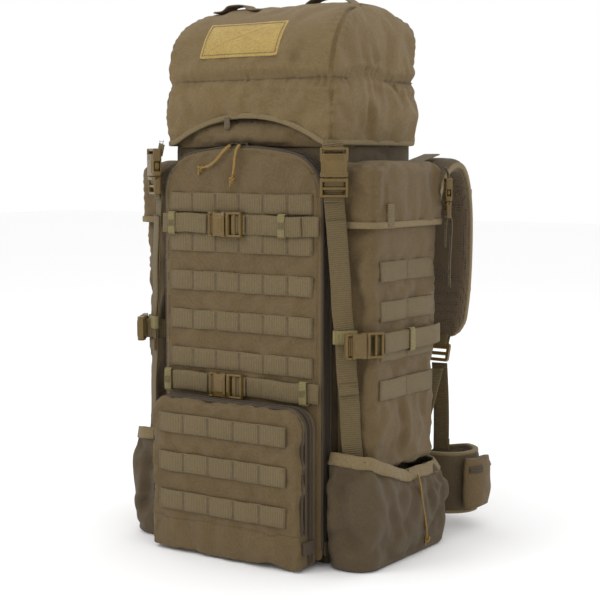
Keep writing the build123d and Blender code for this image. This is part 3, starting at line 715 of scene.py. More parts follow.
def tube(line: Array, radius: float | Array, sides: int = 8, closed: bool = False) -> Skin:
    """A round cord or piping along a line.

    Args:
        line: Points along its middle.
        radius: Its radius, one for all or one for each point.
        sides: Points round it.
        closed: Whether its ends join.

    Returns:
        The skin, closed at its ends.
    """
    if closed and np.linalg.norm(line[0] - line[-1]) < 0.01:
        line = line[:-1]
    count = len(line)
    along = np.roll(line, -1, 0) - np.roll(line, 1, 0) if closed else np.gradient(line, axis=0)
    along /= np.linalg.norm(along, axis=1, keepdims=True)
    side = np.zeros_like(line)
    held = np.cross(along[0], (0.3, 0.2, 0.93))
    for k in range(count):
        held = held - along[k] * held.dot(along[k])
        held = held / np.linalg.norm(held)
        side[k] = held
    face = np.cross(along, side)
    size = np.broadcast_to(radius, count)[:, None]
    turns = np.arange(sides) * 2 * math.pi / sides
    points = np.stack([line + (side * math.cos(t) + face * math.sin(t)) * size for t in turns],
                      1).reshape(-1, 3)
    last = count if closed else count - 1
    faces = [(k * sides + i, k * sides + (i + 1) % sides, (k + 1) % count * sides + (i + 1) % sides,
              (k + 1) % count * sides + i) for k in range(last) for i in range(sides)]
    if not closed:
        faces += [tuple(range(sides))[::-1], tuple(range((count - 1) * sides, count * sides))]
    return Skin(points, faces)


def merged(skins: Sequence[Skin]) -> Skin:
    """Several skins as one."""
    faces, base = [], 0
    for part in skins:
        faces += [tuple(i + base for i in f) for f in part.faces]
        base += len(part.points)
    return Skin(np.vstack([part.points for part in skins]), faces)


def soft_block(low: Sequence[float], high: Sequence[float], edge: float, steps: int = 3) -> Skin:
    """A block whose edges and corners are rounded.

    Args:
        low: Its lowest corner.
        high: Its highest corner.
        edge: The radius of its edges.
        steps: Steps round an edge.

    Returns:
        The closed skin.
    """
    low, high = np.asarray(low, float), np.asarray(high, float)
    edge = min(edge, *((high - low) / 2 - 0.01))
    rings = []
    for foot, centre in ((True, low[2] + edge), (False, high[2] - edge)):
        for k in range(steps + 1):
            turn = math.pi / 2 * ((k / steps - 1) if foot else k / steps)
            draw = edge * (1 - math.cos(turn))
            flat = ring((low[0] + draw, high[0] - draw), (low[1] + draw, high[1] - draw),
                        [max(edge - draw, 0.05)] * 4, 2 * steps, 2 * steps)
            rings.append(level(flat, centre + edge * math.sin(turn)))
    return lofted(rings, 2 * steps, 2 * steps, True, True)


def beads(line: Array, face: Array | Sequence[float], pitch: float, long: float, wide: float,
          crosswise: bool = False, lift: float = 0.0) -> Skin:
    """Small rounded bars along a line: stitches, or the teeth of a zip.

    Args:
        line: Points along the line.
        face: The way the surface looks, one for all.
        pitch: Spacing from bar to bar.
        long: Length of each bar.
        wide: Its thickness.
        crosswise: Whether the bars lie across the line.
        lift: How far they stand off the line.

    Returns:
        The bars as one skin.
    """
    spots = evenly(line, pitch)
    along = np.gradient(spots, axis=0)
    along /= np.linalg.norm(along, axis=1, keepdims=True)
    out = np.broadcast_to(np.asarray(face, float), spots.shape)
    side = np.cross(out, along)
    side /= np.linalg.norm(side, axis=1, keepdims=True)
    out = np.cross(along, side)
    if crosswise:
        along, side = side, along
    shape = [(t * long, math.cos(a) * r * wide / 2, math.sin(a) * r * wide / 2)
             for t, r in ((-0.5, 0.35), (-0.36, 1.0), (0.36, 1.0), (0.5, 0.35))
             for a in (0.785, 2.356, 3.927, 5.498)]
    cells = [(4 * k + i, 4 * k + (i + 1) % 4, 4 * k + 4 + (i + 1) % 4, 4 * k + 4 + i)
             for k in range(3) for i in range(4)] + [(3, 2, 1, 0), (12, 13, 14, 15)]
    points = np.concatenate([spots + along * a + side * b + out * (c + lift) for a, b, c in shape])
    points = points.reshape(len(shape), len(spots), 3).transpose(1, 0, 2).reshape(-1, 3)
    faces = [tuple(i + 16 * k for i in cell) for k in range(len(spots)) for cell in cells]
    return Skin(points, faces)


def free(points: Array) -> Array:
    """No point is held."""
    return np.zeros(len(points), bool)


def searchable(points: Array) -> kdtree.KDTree:
    """The points in a tree that finds the nearest one."""
    tree = kdtree.KDTree(len(points))
    for index, point in enumerate(points):
        tree.insert(point, index)
    tree.balance()
    return tree


def inside(points: Array, x: Sequence[float] = (-999, 999), y: Sequence[float] = (-999, 999),
           z: Sequence[float] = (-999, 999)) -> Array:
    """Which points lie in a box."""
    low, high = np.array([x[0], y[0], z[0]]), np.array([x[1], y[1], z[1]])
    return np.all((points >= low) & (points <= high), axis=1)


def placed(name: str, skin: Skin, finish: Finish, body: str, nodes: Sequence[str] = (),
           flat: Array | None = None, solid: float = 0.0, fine: int = 0) -> bpy.types.Object:
    """Make a piece, dress it and fasten it to its body.

    Args:
        name: The piece's name.
        skin: Its surface.
        finish: Its finish.
        body: The body that it rides on.
        nodes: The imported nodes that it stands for.
        flat: Length and width coordinates of its points, in metres.
        solid: Thickness added inwards, for an open skin.
        fine: Subdivision of the result.

    Returns:
        The new object.
    """
    mesh = skin.mesh(name)
    mesh.polygons.foreach_set("use_smooth", [True] * len(mesh.polygons))
    if flat is not None:
        layer = mesh.uv_layers.new(name="strip")
        corners = np.empty(len(mesh.loops), int)
        mesh.loops.foreach_get("vertex_index", corners)
        layer.data.foreach_set("uv", flat[corners].ravel())
    mesh.materials.append(finish.material())
    made = bpy.data.objects.new(name, mesh)
    bpy.context.collection.objects.link(made)
    if solid:
        wall = made.modifiers.new("wall", "SOLIDIFY")
        wall.thickness, wall.offset = solid * MM, -1.0
    if fine:
        split = made.modifiers.new("fine", "SUBSURF")
        split.levels = split.render_levels = fine
    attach(made, body)
    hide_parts(*nodes)
    log.info("%s on %s, %d points", name, body, len(mesh.vertices))
    return made


class Straps:
    """Several straps gathered into one piece, with their length and width coordinates."""

    def __init__(self) -> None:
        """Start with none."""
        self.skins: list[Skin] = []
        self.flats: list[Array] = []

    def add(self, line: Sequence, across: Sequence[float] | Array, wide: float = 25.0,
            thick: float = 1.8) -> "Straps":
        """Add a strap along a line, and return the collection."""
        skin, flat = strip(np.asarray(line, float), across, wide, thick)
        self.skins.append(skin)
        self.flats.append(flat)
        return self

    def mirror(self) -> "Straps":
        """Add every strap's twin on the other side, and return the collection."""
        self.skins += [s.mirrored() for s in self.skins]
        self.flats += self.flats[:len(self.skins) // 2]
        return self

    def place(self, name: str, finish: Finish, body: str, nodes: Sequence[str] = ()) -> bpy.types.Object:
        """Make the piece.

        Args:
            name: Its name.
            finish: Its finish.
            body: The body that it rides on.
            nodes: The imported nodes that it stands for.

        Returns:
            The new object.
        """
        return placed(name, merged(self.skins), finish, body, nodes, np.vstack(self.flats))


def box_stitch(middle: Sequence[float], along: Sequence[float], across: Sequence[float], long: float,
               wide: float, lift: float = 0.2) -> Skin:
    """A sewn box with its cross, on a strap.

    Args:
        middle: Its middle, on the strap's face.
        along: The strap's direction.
        across: The direction of its width.
        long: The box's length.
        wide: The box's width.
        lift: How far the thread stands off the strap.

    Returns:
        The stitches as one skin.
    """
    m, a, b = (np.asarray(v, float) for v in (middle, along, across))
    a, b = a / np.linalg.norm(a) * long / 2, b / np.linalg.norm(b) * wide / 2
    corners = [m - a - b, m + a - b, m + a + b, m - a + b]
    runs = [(corners[i], corners[(i + 1) % 4]) for i in range(4)] + [(corners[0], corners[2]),
                                                                    (corners[1], corners[3])]
    return merged([beads(np.array(run), np.cross(a, b), 2.9, 2.2, 0.75, lift=lift) for run in runs])


# ---- buckles -----------------------------------------------------------------------------------
@dataclass
class Buckle:
    """A side-release buckle, drawn with its release along +Z and its face towards -Y."""

    half: float = 17.0
    thick: float = 12.0
    deep: float = 24.0
    socket_long: float = 36.0
    reach: float = 19.0
    plug_long: float = 24.0

    def socket(self) -> Skin:
        """The socket half: two curved faces, end walls, a strap bar and ribs for the thumb."""
        h, t, top = self.half, self.thick / 2, self.socket_long
        skins = []
        for face in (-1, 1):
            low, high = sorted((face * t, face * (t - 1.9)))
            skins.append(soft_block((-h + 1.6, low, 0.4), (h - 1.6, high, top - 7.5), 0.9))
            low, high = sorted((face * (t + 0.5), face * (t - 0.6)))
            skins.append(soft_block((-h + 6, low, 3.5), (h - 6, high, self.deep - 3), 0.9))
            for k in range(3):
                z = self.deep - 2.0 + k * 2.3
                skins.append(soft_block((-h + 5, low, z), (h - 5, high, z + 1.2), 0.5))
        for side in (-1, 1):
            x = sorted((side * h, side * (h - 3.2)))
            skins.append(soft_block((x[0], -t + 0.5, 0), (x[1], t - 0.5, 6.5), 1.5))
            skins.append(soft_block((x[0], -t + 0.3, self.deep - 5), (x[1], t - 0.3, top), 1.8))
            x = sorted((side * (h - 1.2), side * (h - 4.2)))
            skins.append(soft_block((x[0], -t + 0.2, 2), (x[1], -t + 2.2, self.deep), 0.9))
            skins.append(soft_block((x[0], t - 2.2, 2), (x[1], t - 0.2, self.deep), 0.9))
        skins.append(soft_block((-h + 1, -t + 0.4, self.deep + 0.4), (h - 1, t - 0.4, top - 8), 1.2))
        skins.append(soft_block((-h + 1, -t + 1.2, top - 3.9), (h - 1, t - 1.2, top), 1.8))
        return merged(skins)

    def plug(self) -> Skin:
        """The plug half: rails, three strap bars, a guide tongue and two latch arms."""
        h, t, low = self.half, self.thick / 2 - 1, -self.plug_long
        skins = [soft_block((-h, -t + 1, z), (h, t - 1, z + 3.4), 1.4) for z in (low, low + 9.0)]
        skins.append(soft_block((-h, -t, -5.6), (h, t, -0.5), 1.5))
        skins.append(soft_block((-h + 5, -t - 0.7, -4.6), (h - 5, t + 0.7, -1.6), 0.8))
        for side in (-1, 1):
            x = sorted((side * h, side * (h - 3.4)))
            skins.append(soft_block((x[0], -t + 0.4, low + 0.3), (x[1], t - 0.4, -0.6), 1.4))
            spine = [(side * (h - 6.5), 0, -2), (side * (h - 6.8), 0, 4), (side * (h - 5.2), 0, 8),
                     (side * (h - 2.6), 0, 11.5), (side * (h - 3.4), 0, self.reach - 1.5),
                     (side * (h - 6.5), 0, self.reach)]
            skins.append(strip(smooth_line(spine, 1.5), (0, 1, 0), 2 * t - 3.6, 3.0)[0])
        skins.append(soft_block((-2.4, -t + 2.0, -1), (2.4, t - 2.0, self.reach), 1.0))
        return merged(skins)

    @staticmethod
    def put(skin: Skin, at: Sequence[float], turn: float, roll: float = 0.0) -> Skin:
        """Roll a half about its face, turn it about the upright and put it in place."""
        spin = Matrix.Rotation(math.radians(turn), 3, "Z") @ Matrix.Rotation(math.radians(roll), 3, "Y")
        return skin.moved(skin.points @ np.array(spin).T + np.asarray(at, float))


# ---- lid ---------------------------------------------------------------------------------------
@dataclass
class Lid:
    """The boxy hood: a strip over front, top and back, two side gussets and a gathered skirt."""

    half: float = 132.0
    front: float = -138.0
    back: float = 69.0
    hem: float = 523.0
    top: float = 699.0
    seam: float = 606.0
    front_round: float = 88.0
    side_round: float = 40.0
    corner: float = 18.0
    arch_half: float = 116.0
    arch_top: float = 557.0
    nx: int = 36
    ny: int = 28

    def outline(self, z: float) -> Array:
        """The hood's level outline at a height."""
        side = self.side_round - math.sqrt(self.side_round ** 2
                                           - max(0.0, z - self.top + self.side_round) ** 2)
        draw = self.front_round - math.sqrt(self.front_round ** 2
                                            - max(0.0, z - self.top + self.front_round) ** 2)
        return ring((-self.half + side, self.half - side), (self.front + draw, self.back - side),
                    [self.corner] * 4, self.nx, self.ny)

    def hem_at(self, flat: Array) -> Array:
        """Height of the lower edge, which rises in an arch across the front."""
        rise = self.arch_top - self.hem
        radius = (self.arch_half ** 2 + rise ** 2) / (2 * rise)
        arch = self.arch_top - radius + np.sqrt(np.maximum(radius ** 2 - flat[:, 0] ** 2, 0))
        front = (flat[:, 1] < self.front + 6) & (np.abs(flat[:, 0]) < self.arch_half)
        rear = flat[:, 1] > self.back - 12
        return np.where(front, np.maximum(arch, self.hem), np.where(rear, self.hem + 7, self.hem))

    def shell(self) -> Skin:
        """The hood before it settles."""
        rings = []
        wall = self.outline(self.seam)
        middle = np.array([0.0, (self.front + self.back) / 2])
        hem = self.hem_at(wall)
        for share in np.linspace(0, 1, 13):
            swell = 4.0 * math.sin(math.pi * share) - 2.0 * share
            full = wall + np.sign(wall - middle) * swell * (np.abs(wall - middle) > (60, 50))
            rings.append(level(full, hem + (self.seam - hem) * share))
        for turn in np.linspace(0, math.pi / 2, 17)[1:]:
            z = self.top - self.front_round * (1 - math.sin(turn))
            rings.append(level(self.outline(z), z))
        return lofted(rings, self.nx, self.ny)

    def side_seam(self, side: int) -> Array:
        """The seam that joins a side gusset to the strip, from the front hem over the top to the back."""
        line = [(side * (self.half - 5), self.front + 4, z) for z in np.linspace(self.hem, self.seam, 12)]
        for turn in np.linspace(0, math.pi / 2, 20):
            z = self.top - self.front_round * (1 - math.sin(turn))
            draw = self.front_round * (1 - math.cos(turn))
            tuck = self.side_round - math.sqrt(self.side_round ** 2
                                               - max(0.0, z - self.top + self.side_round) ** 2)
            line.append((side * (self.half - 5 - tuck * 0.55), self.front + 4 + draw, z - 0.15 * tuck))
        reach = self.back - 30
        line += [(side * (self.half - 27), y, self.top - 6)
                 for y in np.linspace(self.front + 100, reach, 12)]
        for turn in np.linspace(0, math.pi / 2, 8):
            line.append((side * (self.half - 27 + 20 * math.sin(turn)), reach + 26 * math.sin(turn),
                         self.top - 6 - 30 * (1 - math.cos(turn))))
        line += [(side * (self.half - 5), self.back - 4, z)
                 for z in np.linspace(self.top - 40, self.seam, 6)]
        return evenly(np.array(line), 3)

    def sway(self, points: Array) -> Array:
        """How the stuffed hood pulls its belt seam off level.

        Args:
            points: The hood's points.

        Returns:
            The move of each point: down at the front corners, up between them and along the sides.
        """
        across = 1.5 - 8.0 * np.clip(np.abs(points[:, 0]) / self.half, 0, 1) ** 3
        along = 14.0 * np.sin(np.pi * np.clip((points[:, 1] - self.front) / 150.0, 0, 1)) - 6.5
        rise = np.where(points[:, 1] < self.front + 7, across, along)
        rise = np.where(points[:, 1] > self.back - 60, 0.0, rise)
        near = np.exp(-((points[:, 2] - self.seam) / 26.0) ** 2)
        return np.column_stack([np.zeros((len(near), 2)), rise * near])

    def build(self) -> None:
        """Sew the hood, bind its hem and lay the loop field, the tabs and the grab loops on it."""
        belt = level(np.vstack([self.outline(self.seam), self.outline(self.seam)[:1]]), self.seam)
        seams = [belt, self.side_seam(1), self.side_seam(-1)]
        lines = np.vstack([evenly(s, 4) for s in seams])
        tree = searchable(lines)
        shell = self.shell()
        hem = np.zeros(len(shell.points), bool)
        hem[:2 * (self.nx + self.ny)] = True

        def held(points: Array) -> Array:
            """The hem and the seams stay where they are sewn."""
            near = np.array([tree.find(p)[2] for p in points]) < 4.2
            patch = inside(points, (-86, 44), (-140, -90), (634, 690))
            sockets = inside(np.abs(points), (112, 140), (110, 150), (522, 556))
            return near | hem[:len(points)] | patch | sockets

        skin = shell.settled(held, 0.045, 2.2, out=8.0, inward=9.0)
        skin = creased(skin.refined(2), [belt], 3.6, 6.5)
        skin = skin.puckered(seams, ridge=1.3, wave=11.5, reach=15.0, groove=2.4)
        folds = [[(-96, -133, 596), (-84, -140, 572), (-80, -140, 548)], [(20, -140, 601), (38, -140, 580)],
                 [(84, -138, 600), (70, -140, 566)], [(134, -70, 600), (134, -58, 560), (134, -64, 530)],
                 [(134, 10, 601), (134, 22, 570)], [(60, -128, 650), (84, -136, 616)],
                 [(126, -60, 655), (133, -40, 622)], [(-60, 71, 600), (-52, 71, 566)],
                 [(30, 71, 600), (44, 70, 640)]]
        skin = creased(skin, folds, 3.0, 7.0)
        skin = creased(skin, seams, 1.8, 2.4)
        skin = skin.moved(skin.points + self.sway(skin.points))
        # The hood in the lighter cloth: painted light.
        placed("lid_hood", skin, LID_CLOTH_PAINTED_LIGHT, "lid", ["lid_shell"], solid=1.8)
        rim = smooth_line(np.vstack([shell.points[:2 * (self.nx + self.ny)], shell.points[:1]]), 3.0, 1)
        rim = rim + (0, 0, 3.5)
        binding = Straps().add(rim, (0, 0, 1), 6.5, 4.6)
        binding.place("lid_binding", BINDING, "lid")
        floor = lofted([level(self.outline(self.seam) * 0.985, self.seam)], self.nx, self.ny)
        placed("lid_lining", floor, LINING, "lid", ["lid_floor"], solid=1.2)
        self.patch()
        self.loops()

    def patch(self) -> None:
        """The loop field on the sloping shoulder, sewn down all round."""
        middle, wide, angles, reach = -13.0, 122.0, (15.0, 49.0), self.front_round + 1.9
        turns = np.radians(np.linspace(*angles, 15))
        across = np.linspace(-wide / 2, wide / 2, 31)
        grid = np.array([[(middle + x, self.front + self.front_round - reach * math.cos(t),
                           self.top - self.front_round + reach * math.sin(t)) for t in turns]
                         for x in across])
        names = np.arange(grid.shape[0] * grid.shape[1]).reshape(grid.shape[:2])
        faces = [(int(names[i, j]), int(names[i + 1, j]), int(names[i + 1, j + 1]), int(names[i, j + 1]))
                 for i in range(30) for j in range(14)]
        skin = Skin(grid.reshape(-1, 3), faces)
        skin = skin.rumpled(free, 1.5, 30.0).refined(2)
        spots = [grid[3, 2], grid[14, 8], grid[27, 12], grid[25, 3], grid[9, 12]]
        skin = creased(skin, [spots[:3], [spots[3], spots[1], spots[4]]], 1.0, 1.6)
        placed("lid_patch_pile", skin, PILE, "lid", ["lid_patch"], solid=1.6)
        edge = np.vstack([grid[1:-1, 1], grid[-2, 1:-1], grid[-2:0:-1, -2], grid[1, -2:0:-1]])
        face = np.array([0, -math.cos(math.radians(35)), math.sin(math.radians(35))])
        placed("lid_patch_stitch", beads(edge, face, 3.2, 2.4, 0.8, lift=0.5), THREAD, "lid")

    def loops(self) -> None:
        """Two grab loops on top, the rear fold tabs and the tabs that carry the sockets."""
        straps, thread = Straps(), []
        for x, y, long, high in ((-70.0, -54.0, 72.0, 9.0), (56.0, -26.0, 104.0, 15.0)):
            half = long / 2
            path = [(x - half, y, self.top + 1.2), (x - half + 13, y, self.top + 1.4),
                    (x - half + 19, y, self.top + high * 0.5), (x - half * 0.35, y, self.top + high),
                    (x + half * 0.35, y, self.top + high), (x + half - 19, y, self.top + high * 0.5),
                    (x + half - 13, y, self.top + 1.4), (x + half, y, self.top + 1.2)]
            straps.add(smooth_line(path, 2.0, 3), (0, 1, 0), 25.0, 2.0)
            for side in (-1, 1):
                thread.append(box_stitch((x + side * (half - 6.5), y, self.top + 2.4), (1, 0, 0), (0, 1, 0),
                                         10, 20))
        for side in (-1, 1):
            straps.add([(side * 80, 70.4, z) for z in np.linspace(494, 556, 20)], (1, 0, 0), 29, 2.0)
            low, high = np.array([side * 136.7, -143.4, 511.0]), np.array([side * 133.6, -142.1, 526.0])
            run = np.array([low + (high - low) * s for s in np.linspace(0, 1, 12)])
            across = (math.cos(math.radians(35)), side * math.sin(math.radians(35)), 0)
            straps.add(run, across, 25.0, 2.2)
            face = np.cross(across, high - low)
            face = face / np.linalg.norm(face) * (-1 if face[1] > 0 else 1)
            thread.append(box_stitch(low + (high - low) * 0.72 + face * 1.3, high - low, across, 15, 19))
        straps.place("lid_straps_sewn", WEB, "lid", ["lid_webbing"])
        placed("lid_thread", merged(thread), THREAD, "lid")


# ---- the zipped front ----------------------------------------------------------------------------
@dataclass
class Crown:
    """The outline of the zipped front: straight sides under a low arched crown."""

    half: float = 123.0
    low: float = 8.0
    top: float = 521.0
    radius: float = 400.0
    corner: float = 42.0
    nx: int = 34
    ny: int = 68

    def ring(self, inset: float = 0.0) -> Array:
        """The outline, drawn in by an inset, as x and z."""
        half, low, top = self.half - inset, self.low + inset, self.top - inset
        corner = max(self.corner - inset, 6)
        flat = ring((-half, half), (low, top), [6, 6, corner, corner], self.nx, self.ny)
        sag = self.radius - np.sqrt(self.radius ** 2 - flat[:, 0] ** 2)
        return np.column_stack([flat[:, 0], flat[:, 1] - sag * ((flat[:, 1] - low) / (top - low)) ** 2])

    def arch(self, y: float, inset: float = 0.0, foot: float = 16.0) -> Array:
        """The outline as an open line at a depth, from the right foot over the crown to the left foot."""
        flat = self.ring(inset)[self.nx:2 * self.nx + 2 * self.ny]
        line = to_front(flat, y)
        return evenly(line[line[:, 2] > foot], 2.0)


@dataclass
class FrontPanel:
    """The padded front with its rows of load-bearing webbing and its two compression straps."""

    crown: Crown
    face: float = -151.0
    thick: float = 5.0
    row_low: float = 237.0
    rows: int = 5
    pitch: float = 50.3
    row_half: float = 112.0
    upper: float = 424.0
    lower: float = 218.5
    buckle_x: float = -14.0

    def build(self) -> None:
        """Sew the panel, then the rows, the straps and the buckles."""
        crown = self.crown
        rings = [to_front(crown.ring(), self.face + self.thick)]
        for turn in np.linspace(0, math.pi / 2, 5):
            rings.append(to_front(crown.ring(4 * (1 - math.cos(turn))),
                                  self.face + self.thick - 1 - 4 * math.sin(turn)))
        shell = lofted(rings, crown.nx, crown.ny)
        count = 2 * (crown.nx + crown.ny) * len(rings)

        def held(points: Array) -> Array:
            """The edge and the sewn rows stay flat."""
            sewn = np.arange(len(points)) < count
            for k in range(self.rows):
                low = self.row_low + self.pitch * k
                sewn |= inside(points, (-self.row_half, self.row_half), z=(low - 1, low + 26))
            return sewn | inside(points, (-160, 160), z=(0, 205))

        skin = shell.settled(held, 0.05, 1.2, out=5.0, inward=2.5).refined(1)
        edge = crown.arch(self.face, 3.0)
        skin = skin.puckered([edge], ridge=0.8, wave=9.0, reach=12.0, groove=1.0)
        placed("front_panel_cloth", skin, CLOTH, "panel", ["front_panel"], solid=1.5)
        placed("front_panel_stitch", beads(crown.arch(self.face - 0.2, 6.0), (0, -1, 0), 3.2, 2.4, 0.7),
               THREAD,
               "panel")
        webbing_rows("panel_webbing", self.rows, self.row_low, self.pitch, self.row_half, self.face,
                     "panel",
                     "panel_webbing")
        self.straps()

    def straps(self) -> None:
        """Two straps across the front, their keepers, and a buckle on each."""
        face, tapes, keepers, tacks = self.face - 4.0, Straps(), Straps(), []
        for z, spots in ((self.upper, (-104, 70)), (self.lower, (-112, 102))):
            for x0, x1 in ((-122, self.buckle_x - 24), (self.buckle_x + 20, 122)):
                xs = np.linspace(x0, x1, 50)
                clear = self.buckle_x + 50 if x0 > self.buckle_x else x0
                ease = np.sin(np.pi * np.clip((xs - clear) / (x1 - clear), 0, 1))
                line = np.column_stack([xs, face + 0.2 - 1.6 * ease, z + 1.2 * np.sin(xs / 17.0) * ease])
                tapes.add(line, (0, 0, 1))
                shown = slice(14, 40) if x0 > self.buckle_x else slice(10, 44)
                tapes.add(line[shown] + (0, -2.1, 0), (0, 0, 1), 24.6)
            for x in spots:
                around = ring((z - 14.2, z + 14.2), (face - 5.0, face + 1.6), [1.6] * 4, 8, 3)
                loop = np.column_stack([np.full(len(around), float(x)), around[:, 1], around[:, 0]])
                keepers.add(evenly(np.vstack([loop, loop[:1]]), 1.6), (1, 0, 0), 11.0, 1.3)
                tacks.append(beads(np.array([(x - 4, face - 5.7, z), (x + 4, face - 5.7, z)]), (0, -1, 0),
                                   1.5,
                                   9.0, 0.8, crosswise=True))
        tapes.place("cross_strap_webbing", WEB, "panel", ["cross_straps"])
        keepers.place("cross_strap_keepers", ELASTIC, "panel", ["cross_keepers"])
        placed("cross_keeper_thread", merged(tacks), THREAD, "panel")
        small = Buckle(16, 10, 20, 27, 16, 24)
        spots = [(self.buckle_x, self.face - 9.0, z) for z in (self.upper, self.lower)]
        sockets = merged([Buckle.put(small.socket(), at, 0, -90) for at in spots])
        placed("cross_socket_pair", sockets, BUCKLE, "panel", ["cross_sockets"])
        for name, at in zip(("upper", "lower"), spots):
            placed(name + "_plug_piece", Buckle.put(small.plug(), at, 0, -90), BUCKLE, name + "_plug",
                   [name + "_cross_plug"])
            loop = np.array([(27, 2.4, 0), (20, 1.6, 0), (14, -0.4, 0), (9, -1.6, 0)]) + at
            Straps().add(smooth_line(loop, 1.5, 1), (0, 0, 1), 24.4, 1.6).place(name + "_plug_loop", WEB,
                                                                                name + "_plug")


def webbing_rows(name: str, count: int, low: float, pitch: float, half: float, face: float, body: str,
                 node_name: str) -> None:
    """Level rows of webbing, tacked down at even gaps and bowed a little between the tacks.

    Args:
        name: The piece's name.
        count: How many rows.
        low: Lower edge of the first row.
        pitch: Height from row to row.
        half: Half a row's length.
        face: Depth of the cloth behind.
        body: The body that the rows ride on.
        node_name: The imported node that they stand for.
    """
    rows, tacks, gap = Straps(), [], 2 * half / round(2 * half / 38.0)
    for k in range(count):
        z = low + pitch * k + 12.5
        xs = np.linspace(-half, half, 121)
        bow = np.abs(np.sin(np.pi * (xs + half) / gap)) ** 0.7
        wave = np.array([noise.noise((x / 26, k * 3.1, 0.4)) for x in xs])
        rows.add(np.column_stack([xs, face - 1.1 - bow * 1.3, z + 0.8 * wave]), (0, 0, 1), 25.0, 1.8)
        for x in np.arange(-half, half + 1, gap):
            x = float(np.clip(x, -half + 2.5, half - 2.5))
            for off in (-0.9, 0.9):
                column = np.array([(x + off, face - 2.2, z - 10.6), (x + off, face - 2.2, z + 10.6)])
                tacks.append(beads(column, (0, -1, 0), 1.5, 2.6, 0.9, crosswise=True))
    rows.place(name + "_rows", WEB, body, [node_name])
    placed(name + "_tacks", merged(tacks), THREAD, body)


def zipper(name: str, line: Array, y_tape: tuple[float, float], teeth: float, body: str,
           nodes: Sequence[str] = (), out: float = 0.0) -> None:
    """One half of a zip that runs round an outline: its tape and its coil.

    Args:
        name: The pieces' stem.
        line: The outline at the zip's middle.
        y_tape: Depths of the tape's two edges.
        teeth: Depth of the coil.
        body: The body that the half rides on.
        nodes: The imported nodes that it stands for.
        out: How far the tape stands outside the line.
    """
    middle = np.array([0.0, 0.0, line[:, 2].mean()])
    away = np.gradient(line, axis=0)
    away = np.cross(away, (0, 1, 0))
    away /= np.linalg.norm(away, axis=1, keepdims=True)
    away *= np.sign(np.einsum("ij,ij->i", away, line - middle).sum())
    tape_line = line * (1, 0, 1) + (0, sum(y_tape) / 2, 0) + away * out
    Straps().add(tape_line, (0, 1, 0), abs(y_tape[1] - y_tape[0]), 1.2).place(name + "_tape", TAPE_CLOTH,
                                                                              body,
                                                                           nodes)
    coil = line * (1, 0, 1) + (0, teeth, 0) + away * (out + 1.1)
    placed(name + "_coil", coil_teeth(coil, away), COIL, body)


def coil_teeth(line: Array, away: Array) -> Skin:
    """The coil of a zip half: short bars across the line, one every two millimetres."""
    return beads(line, (0.0, -1.0, 0.0), 2.0, 2.2, 1.3, crosswise=False)


@dataclass
class MainZip:
    """The long zip round the front panel, one half on the panel and one on the bag."""

    crown: Crown
    line: float = -138.0

    def build(self) -> None:
        """Lay both halves with their piped edges."""
        halves = (("main_zip_front", -145.6, -138.4, -138.9, "panel", "main_zip_panel"),
                  ("main_zip_rear", -137.6, -128.4, -137.1, "bag", "main_zip_bag"))
        for name, low, high, teeth, body, node_name in halves:
            zipper(name, self.crown.arch(self.line, 1.2), (low, high), teeth, body, [node_name])
        placed("main_zip_piping_front", tube(self.crown.arch(-147.4, -0.4), 1.7, 8), TAPE_CLOTH, "panel")
        placed("main_zip_piping_rear", tube(self.crown.arch(-129.2, -0.6), 1.7, 8), TAPE_CLOTH, "bag")
        for side in (-1, 1):
            tab = soft_block((-6, -1.2, -9), (6, 1.2, 9), 1.0)
            spin = np.array(Matrix.Rotation(math.radians(90 * side), 3, "Z"))
            tab = tab.moved(tab.points @ spin.T + (side * 124.2, -137.8, 23.0))
            # The zip's end tabs in the darker cloth: painted shade.
            placed("main_zip_end_" + ("right" if side > 0 else "left"), tab, CLOTH_PAINTED_SHADE, "bag")


